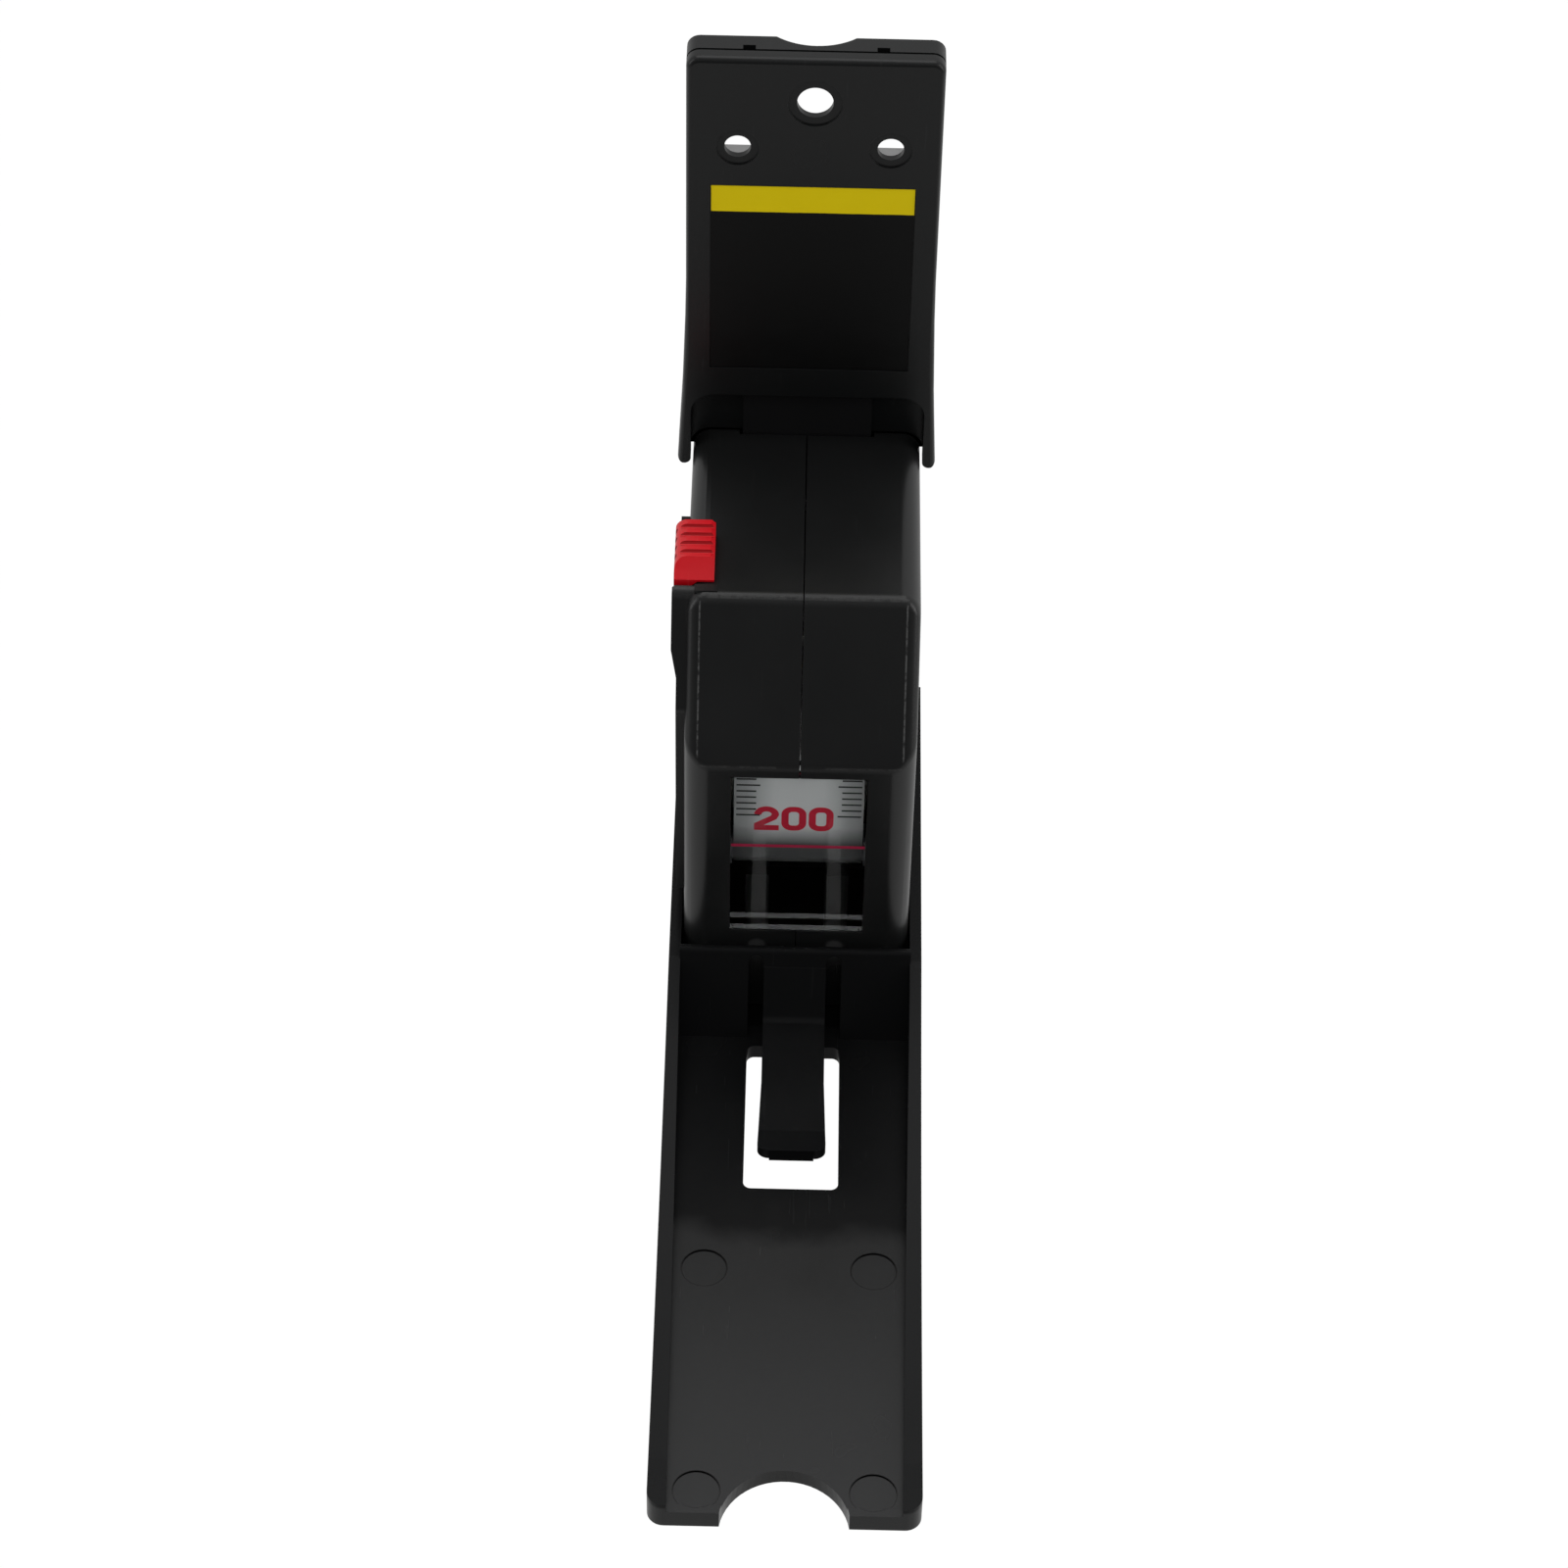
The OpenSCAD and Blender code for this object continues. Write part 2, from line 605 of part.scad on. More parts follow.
// what both shells have: hollow, window, tape slot, rails' grooves, seats of the pins and of the screws
module shell(bore_r) {
    difference() {
        union() {
            difference() {
                half_body();
                intersection() {
                    from_side(0, inner_side) polygon(case_ring(case_wall, half_case, 2));
                    from_side(0, inner_side)
                        square([case_d - front_round + 0.4, case_h]);
                }
                from_side(0, half_case - front_round + 0.3)
                    polygon(case_ring(case_wall, half_case, 2));
            }
            for (c = [top_roller_c, low_roller_c, rear_roller_c])
                x_bar(c, pin_r + 1.2, boss_face, inner_side + 0.2);
            x_bar(drum_c, axle_r + 1.4, drum_half + flange_t + 0.3, inner_side + 0.2);
            for (c = screw_spots)
                x_bar(c, boss_r, seam_gap / 2, inner_side + 0.2);
            // guide posts below the window's roller
            box_between(3.6, 6.6, tape_face - 3.4, tape_face - 0.6, case_wall, low_roller_z - roller_r - 2);
        }
        for (c = [top_roller_c, low_roller_c, rear_roller_c])
            x_bar(c, pin_r + fit_gap, 0, pin_half + 0.1);
        x_bar(drum_c, axle_r + fit_gap, 0, inner_side);
        for (c = screw_spots)
            x_bar(c, bore_r, -past, bore_r > screw_r + 0.1 ? half_case + past : inner_side);
        // window
        box_between(-past, window_w / 2, case_d - case_wall - 0.2, case_d + past, window_z, window_z + window_h);
        // tape slot in the roof
        box_between(-past, tape_w / 2 + 0.4, tape_rear - tape_t - 0.35, tape_rear + 0.35,
            case_h - case_wall - past, case_h + past);
        // groove of the arm's rail
        box_between(half_case - 0.9, half_case + past, 0, case_d + past, rail_z - 0.15, rail_z + rail_t + 0.15);
        // catch of the arm's hook
        box_between(-past, 3.3, case_d - case_wall - past, case_d + past, hook_z - 1.8, hook_z + 0.9);
    }
}

module case_right() {
    color(black)
        difference() {
            shell(screw_r + 0.15);
            for (c = screw_spots) {
                x_bar(c, head_r + 0.1, half_case - 0.9, half_case + past);
            }
        }
}

module case_left() {
    color(black)
        difference() {
            union() {
                mirror([1, 0, 0]) shell(screw_r + fit_gap);
                side_boss();
                // seat of the lever's pin
                x_bar([lever_u, lever_z], pin_r + 1.1, -inner_side - 0.2, lever_x - 0.05);
                seam_lip();
            }
            x_bar([lever_u, lever_z], pin_r + fit_gap, -half_case + 0.4, 0);
            // slot of the button's stem
            box_between(stem_x - 0.15, stem_x + 1.45, lever_u - button_travel - 0.8, lever_u + 0.8,
                case_h - case_wall - past, case_h + past);
        }
}

// raised panel over the brake, with the guard in front of the button
module side_boss() {
    button_end = button_u + button_l + 0.3;
    outer = -half_case - boss_t;
    face = outer - guard_t;
    low = case_h - guard_h;
    difference() {
        intersection() {
            union() {
                from_side(face, -half_case + 0.5) boss_view();
                // guard, which runs onto the roof
                intersection() {
                    from_side(face, -half_case + roof_round) boss_view();
                    box_between(face, 0, button_end, case_d, case_h - roof_round, case_h);
                }
            }
            from_front(0, case_d)
                polygon([
                    [0, 0], [0, case_h], [face + 0.6, case_h], [face, case_h - 0.6],
                    [face, low + 1.5], [outer, low - 1.5], [outer, boss_z + 0.8], [outer + 0.5, 0]]);
        }
        // the button runs over the panel
        box_between(face - past, -half_case + 0.6, -past, button_end, case_h - button_skirt - 0.3, case_h + past);
        box_between(face - past, outer, -past, button_end, low - 2, case_h + past);
    }
    // low step on the roof in front of the button
    box_between(-half_case + 1, -half_case + button_w - 1.2, button_end + 0.1, roof_d - 0.8,
        case_h - case_wall, case_h + 0.12);
}

// lip of the left shell behind the seam, along the floor and the back
module seam_lip() {
    face = case_gap + case_wall;
    lip_t = 0.5;
    for (x = [-0.9, -0.3]) {
        start = x < -0.5 ? face - 0.2 : face + fit_gap;
        reach = x < -0.5 ? 0.7 : 0.8;
        box_between(x, x + reach, face + 2, lens_inner - 2, start, face + lip_t);
        box_between(x, x + reach, start, face + lip_t, face + 2, case_h - case_wall - 3);
    }
}

module boss_view() {
    top = 0.25;
    front = case_d - boss_front;
    slope = slope_c - boss_inset;
    upper = crossing(90, case_h - top - 2, slope_a, slope - 2);
    lower = crossing(slope_a, slope - 2, 0, front - 2);
    polygon(concat(
        [[boss_back, case_h - top]],
        arc(upper, 2, 90, slope_a, 4),
        arc(lower, 2, slope_a, 0, 4),
        [[front, boss_z + 1.5], [front - 1.5, boss_z], [boss_back + 1.5, boss_z], [boss_back, boss_z + 1.5]]));
}

module window_lens() {
    half = window_w / 2 - 0.05;
    color([0.85, 0.9, 0.92, 0.35]) {
        union() {
            box_between(-half, half, lens_inner - 0.1, lens_front, window_z + 0.05, window_z + window_h - 0.05);
            box_between(-half - lens_flange, half + lens_flange, lens_inner - 0.05 - lens_flange_t,
                lens_inner - 0.05, window_z - lens_flange, window_z + window_h + lens_flange);
        }
    }
}

module case_screws() {
    color(steel)
        for (c = screw_spots)
            difference() {
                union() {
                    x_bar(c, screw_r, -inner_side + 0.4, half_case - 0.8);
                    x_bar(c, head_r, half_case - 0.9 + 0.02, half_case - 0.1);
                }
                // cross recess
                for (a = [0, 90])
                    translate([half_case - 0.5, -c[0], c[1]]) rotate([a, 0, 0])
                        translate([0, -1.3, -0.25]) cube([1, 2.6, 0.5]);
            }
}

// Tape, drum and rollers

module drum_axle() {
    color(steel)
        difference() {
            x_bar(drum_c, axle_r, -inner_side + 0.05, inner_side - 0.05);
            // slit for the mainspring's inner end
            box_between(-drum_half + 1, drum_half - 1, drum_u - 0.15, drum_u + 0.15, drum_z - axle_r - past, drum_z);
        }
}

module roller_pins() {
    color(steel)
        for (c = [top_roller_c, low_roller_c, rear_roller_c])
            x_bar(c, pin_r, -pin_half, pin_half);
}

// one face of the tape inside the case, out by the tape's thickness or not
function run_side(out) =
    let (a0 = leave_a(drum_c, coil_r, top_roller_c, roller_r),
        a1 = leave_a(top_roller_c, roller_r, low_roller_c, roller_r),
        a2 = leave_a(low_roller_c, roller_r, rear_roller_c, roller_r))
    concat(
        [drum_c + (coil_r + run_gap + out) * dir(a0)],
        tape_arc(top_roller_c, roller_r, a0, a1, out),
        tape_arc(low_roller_c, roller_r, a1, a2, out),
        tape_arc(rear_roller_c, roller_r, a2, 180, out),
        [[tape_rear - out, case_h]]);

module tape_run() {
    inner = run_side(0);
    color(ivory)
        from_side(-tape_w / 2, tape_w / 2)
            polygon(concat(run_side(tape_t), [for (i = [len(inner) - 1:-1:0]) inner[i]]));
}

module tape_drum() {
    color([0.85, 0.85, 0.83])
        difference() {
            union() {
                x_bar(drum_c, flange_r, -drum_half - flange_t, -drum_half);
                x_bar(drum_c, hub_r - run_gap, -drum_half - 0.1, drum_half + 0.1);
                x_bar(drum_c, flange_r, drum_half, drum_half + flange_t);
            }
            x_bar(drum_c, axle_r + run_gap, -drum_half - flange_t - past, 0);
            x_bar(drum_c, hub_r - flange_t, -drum_half, drum_half + flange_t + past);
        }
}

// lid that closes the hub over the mainspring
module drum_cap() {
    color([0.85, 0.85, 0.83])
        difference() {
            union() {
                x_bar(drum_c, hub_r - flange_t - fit_gap, drum_half - 0.4, drum_half + flange_t);
                x_bar(drum_c, axle_r + 1, drum_half - 1, drum_half);
            }
            x_bar(drum_c, axle_r + run_gap, 0, drum_half + flange_t + past);
        }
}

module tape_coil() {
    color(ivory)
        difference() {
            x_bar(drum_c, coil_r, -tape_w / 2, tape_w / 2);
            x_bar(drum_c, hub_r, -tape_w / 2 - past, tape_w / 2 + past);
        }
}

module mainspring() {
    r0 = axle_r + 0.4;
    r1 = hub_r - flange_t - spring_t - 0.05;
    n = spring_turns * 16;
    color([0.35, 0.36, 0.4])
        from_side(-drum_half + 1, drum_half - 1.2)
            polygon(concat(
                [for (k = [0:n]) drum_c + (r0 + (r1 - r0) * k / n) * dir(360 * k / 16)],
                [for (k = [n:-1:0]) drum_c + (r0 + spring_t + (r1 - r0) * k / n) * dir(360 * k / 16)]));
}

module roller(c) {
    difference() {
        union() {
            x_bar(c, roller_r, -roller_half, roller_half);
            for (x = [-roller_half, roller_half - rim_w])
                x_bar(c, roller_r + roller_rim, x, x + rim_w);
        }
        x_bar(c, pin_r + run_gap, -roller_half - past, roller_half + past);
    }
}

module top_front_roller() {
    color([0.3, 0.3, 0.32]) roller(top_roller_c);
}

module low_front_roller() {
    color([0.3, 0.3, 0.32]) roller(low_roller_c);
}

module rear_roller() {
    color([0.3, 0.3, 0.32]) roller(rear_roller_c);
}

// Brake

module brake_button() {
    left = -half_case - slide_gap - skirt_t;
    right = left + button_w;
    under = case_h + slide_gap / 2;
    top = case_h + button_h;
    low = case_h - button_skirt;
    corner_r = 1.5;
    groove_r = 0.45;
    front = button_u + button_l;
    pitch = (button_l - button_nose - 0.5) / ridges;
    color([0.85, 0.07, 0.08])
        union() {
            difference() {
                from_front(button_u, front)
                    polygon(concat(
                        [[right, under], [right, top - 0.5], [right - 0.5, top]],
                        arc([left + corner_r, top - corner_r], corner_r, 90, 180, 6),
                        [[left, low + 0.4], [left + 0.4, low], [-half_case - slide_gap, low],
                            [-half_case - slide_gap, under - roof_round],
                            [-half_case - slide_gap + 0.5, under - 0.9],
                            [-half_case + 1.3, under]]));
                // sloped front
                from_side(left - past, right + past)
                    polygon([
                        [front - button_nose, top + 0.01], [front - button_nose * 0.45, top - 0.5 * button_h],
                        [front, under + 0.3], [front + past, under + 0.3], [front + past, top + past],
                        [front - button_nose, top + past]]);
                for (k = [0:ridges - 1])
                    let (u = button_u + 0.5 + pitch * (k + 0.5)) {
                        x_bar([u, top + 0.15], groove_r, left - past, right + past);
                        translate([left - 0.15, -u, low - past])
                            cylinder(r = groove_r, h = button_h + button_skirt + 2 * past);
                    }
            }
            // stem through the roof, with the cross pin for the lever's fork
            box_between(stem_x, stem_x + 1.3, lever_u - 0.5, lever_u + 0.5, stem_z, under + 0.2);
            x_bar([lever_u, stem_z], pin_r, stem_x, stem_x + 1.3);
        }
}

module brake_lever() {
    pad_u = pad_spot();
    color([0.82, 0.82, 0.8])
        difference() {
            union() {
                x_bar([lever_u, lever_z], pin_r + 1.2, lever_x, lever_x + lever_t);
                from_side(lever_x, lever_x + lever_t)
                    polygon([
                        [lever_u - 1.9, lever_z], [lever_u - 1.9, stem_z + 0.8],
                        [lever_u + 1.9, stem_z + 0.8], [lever_u + 1.9, lever_z]]);
                // rear arm over the drum's rim
                from_side(lever_x, -drum_half + 0.1)
                    polygon([
                        [pad_u, pad_rest + 0.8], [pad_u, pad_rest + 2.4],
                        [lever_u - 1.4, pad_rest + 2.4], [lever_u - 1.4, pad_rest + 0.8]]);
            }
            x_bar([lever_u, lever_z], pin_r + run_gap, -half_case, 0);
            // fork
            box_between(-half_case, 0, lever_u - slot_w / 2, lever_u + slot_w / 2, stem_z - pin_r - 0.3, case_h);
        }
}

function pad_spot() = drum_u + 0.5;

module brake_pad() {
    color([0.15, 0.15, 0.16])
        box_between(lever_x + 0.2, -drum_half + 0.1, pad_spot(), pad_spot() + pad_l, pad_rest, pad_rest + 0.8);
}

module lever_pin() {
    color(steel)
        x_bar([lever_u, lever_z], pin_r, -half_case + 0.5, lever_x + lever_t + 0.4);
}

// Head arm

function arm_side() = concat(
    [[arm_l, 0], [arm_l, tip_h]],
    [for (k = [0:12]) let (u = arm_l + (band_u - arm_l) * k / 12) [u, wall_top(u)]],
    [[case_gap, cheek_h], [case_gap, 0]]);

module head_arm() {
    foot = [crease_u, floor_t];
    top_c = [band_u, band_h] - face_n * cross_t / 2;
    inner_w = arm_w - 2 * cheek_t;
    tip_inner_w = arm_w - 2 * tip_wall;
    lip = 1.2;
    rail_w = inner_w / 2 + 0.1 - half_case + 0.75;
    color(black)
        difference() {
            union() {
                difference() {
                    intersection() {
                        from_side(-half_arm, half_arm) polygon(arm_side());
                        // rounded corners of the tip
                        linear_extrude(cheek_h + past)
                            union() {
                                translate([-half_arm, -arm_l + tip_round]) square([arm_w, arm_l]);
                                translate([-half_arm + tip_round, -arm_l]) square([arm_w - 2 * tip_round, arm_l]);
                                for (x = [-half_arm + tip_round, half_arm - tip_round])
                                    translate([x, -arm_l + tip_round]) circle(tip_round);
                            }
                    }
                    // tray between the side walls
                    translate([0, 0, floor_t])
                        linear_extrude(cheek_h)
                            polygon([
                                [-inner_w / 2, -crease_u], [-tip_inner_w / 2, -arm_l + lip],
                                [tip_inner_w / 2, -arm_l + lip], [inner_w / 2, -crease_u]]);
                    // room for the case
                    box_between(-inner_w / 2, inner_w / 2, -past, crease_u - 2, -past, cheek_h + past);
                    box_between(-inner_w / 2, inner_w / 2, crease_u - 3, crease_u + 0.5, floor_t, cheek_h + past);
                    // low lip at the tip
                    box_between(-tip_inner_w / 2, tip_inner_w / 2, arm_l - lip - 0.1, arm_l + past,
                        floor_t + 0.5, cheek_h);
                }
                // leaning cross wall with its rounded band
                from_side(-inner_w / 2 - 0.1, inner_w / 2 + 0.1)
                    polygon([
                        [band_u, band_h], foot, [crease_u + 0.1, 0], [crease_u - 2.5, 0],
                        foot - face_n * cross_t, [band_u, band_h] - face_n * cross_t]);
                x_bar(top_c, cross_t / 2, -inner_w / 2 - 0.1, inner_w / 2 + 0.1);
                // rails in the case's grooves
                for (x = [-inner_w / 2 - 0.1, half_case - 0.75])
                    box_between(x, x + rail_w, case_gap, case_d - 3, rail_z, rail_z + rail_t);
            }
            // cut-out in the floor, and above the floor in the foot of the cross wall
            translate([0, -crease_u - cut_l, -past])
                linear_extrude(floor_t + 2 * past)
                    rounded_rect(-cut_w / 2, cut_w / 2, 0, cut_l - cut_gap, cut_r);
            box_between(-cut_w / 2, cut_w / 2, crease_u - 8, crease_u + past, floor_t, 6);
            // slots beside the tongue
            for (x = [-cut_w / 2, tongue_w / 2])
                let (slot = (cut_w - tongue_w) / 2)
                from_front(case_d, crease_u + past) {
                    translate([x, 4]) square([slot, band_h - slot / 2 - 4.2]);
                    translate([x + slot / 2, band_h - slot / 2 - 0.2]) circle(slot / 2);
                }
            // room below the root, with the round socket of the tongue
            from_side(-tongue_w / 2 - 0.1, tongue_w / 2 + 0.1) {
                translate(knuckle_c) circle(cross_t / 2 + 0.1);
                polygon([
                    knuckle_c - face_n * 3, knuckle_c + face_n * 3,
                    [knuckle_c[0] + 7, floor_t], [knuckle_c[0] - 2, floor_t]]);
            }
            // ejector marks
            for (x = [-10.5, 10.5])
                for (u = [arm_l - 37, arm_l - 3.6])
                    translate([x, -u, floor_t - mark_t]) cylinder(d = mark_d, h = cheek_h);
            translate([0, -arm_l - notch_r + notch_d, -past]) cylinder(r = notch_r, h = cheek_h);
        }
}

// Snap tongue with its thumb tab and hook

module latch_tongue() {
    bend = [crease_u - 0.9, tab_z];
    tip_u = crease_u + tab_l;
    half_t = tongue_t / 2;
    mid_u = (bend[0] + tip_u) / 2;
    back_foot = knuckle_c - face_n * half_t + lean * 5.2;
    color(black)
        union() {
            x_bar(knuckle_c, half_t, -tongue_w / 2, tongue_w / 2);
            from_side(-tongue_w / 2, tongue_w / 2)
                polygon([
                    knuckle_c - face_n * half_t, knuckle_c + face_n * half_t,
                    bend + [0.2, 0.6], bend + [1.2, 0], [mid_u, tab_z - 0.2],
                    [mid_u, tab_z - 0.2 - tongue_t], bend + [0.3, -tongue_t], back_foot]);
            // thumb tab, a little wider towards its tip
            intersection() {
                from_side(-tab_w / 2, tab_w / 2)
                    polygon([
                        [mid_u - 0.5, tab_z - 0.2], [tip_u - 4, tab_z + 0.35 * tab_rise], [tip_u, tab_z + tab_rise],
                        [tip_u + 0.4, tab_z + tab_rise - tongue_t],
                        [tip_u - 4, tab_z + 0.35 * tab_rise - tongue_t], [mid_u - 0.5, tab_z - 0.2 - tongue_t]]);
                linear_extrude(20)
                    union() {
                        polygon([
                            [-tongue_w / 2, -mid_u + 1], [-tab_w / 2, -tip_u + 1.5],
                            [tab_w / 2, -tip_u + 1.5], [tongue_w / 2, -mid_u + 1]]);
                        for (x = [-tab_w / 2 + 1.5, tab_w / 2 - 1.5])
                            translate([x, -tip_u + 1.5]) circle(1.5);
                        translate([-tab_w / 2 + 1.5, -tip_u - 1]) square([tab_w - 3, 4]);
                    }
            }
            // hook that catches behind the case's front wall
            from_side(-3, 3)
                polygon([
                    [lens_inner - 1.2, hook_z - 0.6], [lens_inner - 1.2, hook_z + 0.9 + barb_h - 0.3],
                    [lens_inner - 0.9, hook_z + 0.9 + barb_h], [lens_inner - 0.4, hook_z + 0.9 + barb_h],
                    [lens_inner - 0.4, hook_z + 0.6], [crease_u - 3, hook_z + 0.6], [crease_u - 3, hook_z - 0.6]]);
        }
}

on_wall() bracket_back_plate();
on_wall() bracket_front_plate();
on_wall() label_plate();
on_wall() tape_clamp_bar();
on_wall() clamp_screws();
on_wall() clamped_tape();
on_wall() free_tape();
on_wall() case_left();
on_wall() case_right();
on_wall() window_lens();
on_wall() case_screws();
on_wall() drum_axle();
on_wall() roller_pins();
on_wall() tape_run();
on_wall() tape_drum();
on_wall() drum_cap();
on_wall() tape_coil();
on_wall() mainspring();
on_wall() top_front_roller();
on_wall() low_front_roller();
on_wall() rear_roller();
on_wall() brake_button();
on_wall() brake_lever();
on_wall() brake_pad();
on_wall() lever_pin();
on_wall() head_arm();
on_wall() latch_tongue();
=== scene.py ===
import math
from math import radians

import bmesh
import bpy
from mathutils import Matrix, Vector


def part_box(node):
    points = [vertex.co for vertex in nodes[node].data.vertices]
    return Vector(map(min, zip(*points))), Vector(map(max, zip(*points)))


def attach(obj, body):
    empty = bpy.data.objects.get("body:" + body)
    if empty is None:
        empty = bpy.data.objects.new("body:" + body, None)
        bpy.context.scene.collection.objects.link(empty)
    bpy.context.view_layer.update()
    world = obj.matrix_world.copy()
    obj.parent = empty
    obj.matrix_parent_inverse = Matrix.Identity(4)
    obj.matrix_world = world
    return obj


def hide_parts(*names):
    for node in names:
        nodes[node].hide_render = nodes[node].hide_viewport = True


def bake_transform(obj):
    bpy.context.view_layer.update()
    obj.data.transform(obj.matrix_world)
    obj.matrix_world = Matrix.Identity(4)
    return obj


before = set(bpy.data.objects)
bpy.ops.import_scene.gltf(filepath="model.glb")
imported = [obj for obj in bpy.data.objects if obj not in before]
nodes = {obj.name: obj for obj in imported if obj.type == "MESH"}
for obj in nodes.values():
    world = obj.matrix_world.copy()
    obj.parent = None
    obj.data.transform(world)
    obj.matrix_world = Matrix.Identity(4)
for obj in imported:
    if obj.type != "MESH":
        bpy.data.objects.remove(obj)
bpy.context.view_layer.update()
print("frame loaded,", len(nodes), "nodes")

mm = 0.001
underside = -90  # height of the arm's underside in the frame, mm


# places are given as x, depth from the wall and height over the arm's underside, all in mm
def at(x, depth, height):
    return Vector((x, -depth, height + underside)) * mm


# the same three numbers of a point of the frame
def placeOf(point):
    return point.x / mm, -point.y / mm, point.z / mm - underside


# a socket gets a plain value or the output of another node
def feed(tree, socket, value):
    if isinstance(value, bpy.types.NodeSocket):
        tree.links.new(value, socket)
    else:
        socket.default_value = value


def add(tree, kind, values=None, **settings):
    made = tree.nodes.new("ShaderNode" + kind)
    for key, value in settings.items():
        setattr(made, key, value)
    for key, value in (values or {}).items():
        feed(tree, made.inputs[key], value)
    return made


def newMaterial(name, colour, roughness, **sockets):
    material = bpy.data.materials.new(name)
    material.use_nodes = True
    base = material.node_tree.nodes["Principled BSDF"]
    base.inputs["Base Color"].default_value = (*colour, 1)
    base.inputs["Roughness"].default_value = roughness
    for socket, value in sockets.items():
        base.inputs[socket.replace("_", " ")].default_value = value
    return material, material.node_tree, base


def placed(tree, scale=(1, 1, 1), turn=(0, 0, 0)):
    place = add(tree, "TexCoord").outputs["Object"]
    mapping = add(tree, "Mapping", {"Vector": place, "Scale": scale, "Rotation": turn})
    return mapping.outputs["Vector"]


def split(tree, vector):
    return add(tree, "SeparateXYZ", {"Vector": vector}).outputs


def noise(tree, vector, scale, detail=2.0, roughness=0.5):
    made = add(tree, "TexNoise", {
        "Vector": vector, "Scale": scale, "Detail": detail, "Roughness": roughness})
    return made.outputs["Fac"]


def ranged(tree, value, low, high, toLow, toHigh):
    made = add(tree, "MapRange", {
        "Value": value, "From Min": low, "From Max": high, "To Min": toLow, "To Max": toHigh})
    return made.outputs["Result"]


def worked(tree, operation, *values):
    return add(tree, "Math", dict(enumerate(values)), operation=operation).outputs[0]


# colours are given as three numbers or as a socket
def mixed(tree, share, first, second):
    first, second = ((*c, 1) if isinstance(c, tuple) else c for c in (first, second))
    made = add(tree, "Mix", {"Factor": share, 6: first, 7: second}, data_type="RGBA")
    return made.outputs[2]


def bumped(tree, base, height, strength, distance=0.00002):
    made = add(tree, "Bump", {"Height": height, "Strength": strength, "Distance": distance})
    feed(tree, base.inputs["Normal"], made.outputs["Normal"])


# share that is 1 inside a box of x from the middle, depth and height, and fades past its faces
def boxShare(tree, plain, low, high, soft):
    place = split(tree, plain)
    share = 1.0
    for value, first, last in (
            (worked(tree, "ABSOLUTE", place["X"]), low[0], high[0]),
            (place["Y"], -high[1], -low[1]),
            (place["Z"], low[2] + underside, high[2] + underside)):
        middle, half = (first + last) / 2, (last - first) / 2
        away = worked(tree, "ABSOLUTE", worked(tree, "SUBTRACT", value, middle * mm))
        inside = ranged(tree, away, half * mm, (half + soft) * mm, 1, 0)
        share = worked(tree, "MULTIPLY", inside, share)
    return share


# share that is 1 on the arm's floor and 0 on its walls
def floorShare(tree, place):
    low, high = ((height + underside) * mm for height in (3.2, 3.6))
    return ranged(tree, place["Z"], low, high, 1, 0)


# thin dark outline of each round mark on the arm's floor
def ringShare(tree, plain, look):
    place = split(tree, plain)
    across = worked(tree, "ABSOLUTE", place["X"])
    share = 0.0
    for depth in look["depths"]:
        spot = add(tree, "CombineXYZ", {"X": across, "Y": place["Y"]}).outputs["Vector"]
        centre = (look["x"] * mm, -depth * mm, 0)
        span = add(tree, "VectorMath", {0: spot, 1: centre}, operation="DISTANCE").outputs["Value"]
        away = worked(tree, "ABSOLUTE", worked(tree, "SUBTRACT", span, look["radius"] * mm))
        ring = ranged(tree, away, look["thick"] * mm / 2, look["thick"] * mm, 1, 0)
        share = worked(tree, "MAXIMUM", ring, share)
    return worked(tree, "MULTIPLY", share, floorShare(tree, place))


# painted sheen on the arm's floor, lighter past a cloudy edge
def paintedSheenShare(tree, plain, look):
    place = split(tree, plain)
    clouds = noise(tree, plain, look["cloudScale"], 4, 0.6)
    drift = ranged(tree, clouds, 0.1, 0.9, -look["drift"] * mm, look["drift"] * mm)
    edge = worked(tree, "ADD", place["Y"], drift)
    sheenZone = ranged(tree, edge, -look["start"] * mm, -look["full"] * mm, 0, 1)
    return worked(tree, "MULTIPLY", sheenZone, floorShare(tree, place))


# a few specks of dust, one in the middle of some random cells
def dustShare(tree, plain, look):
    cells = add(tree, "TexVoronoi", {"Vector": plain, "Scale": look["dustScale"]})
    spot = ranged(tree, cells.outputs["Distance"], 0.03, 0.02, 0, 1)
    chance = add(tree, "SeparateColor", {"Color": cells.outputs["Color"]})
    few = ranged(tree, chance.outputs["Red"], 0.86, 0.9, 0, look["dust"])
    return worked(tree, "MULTIPLY", spot, few)
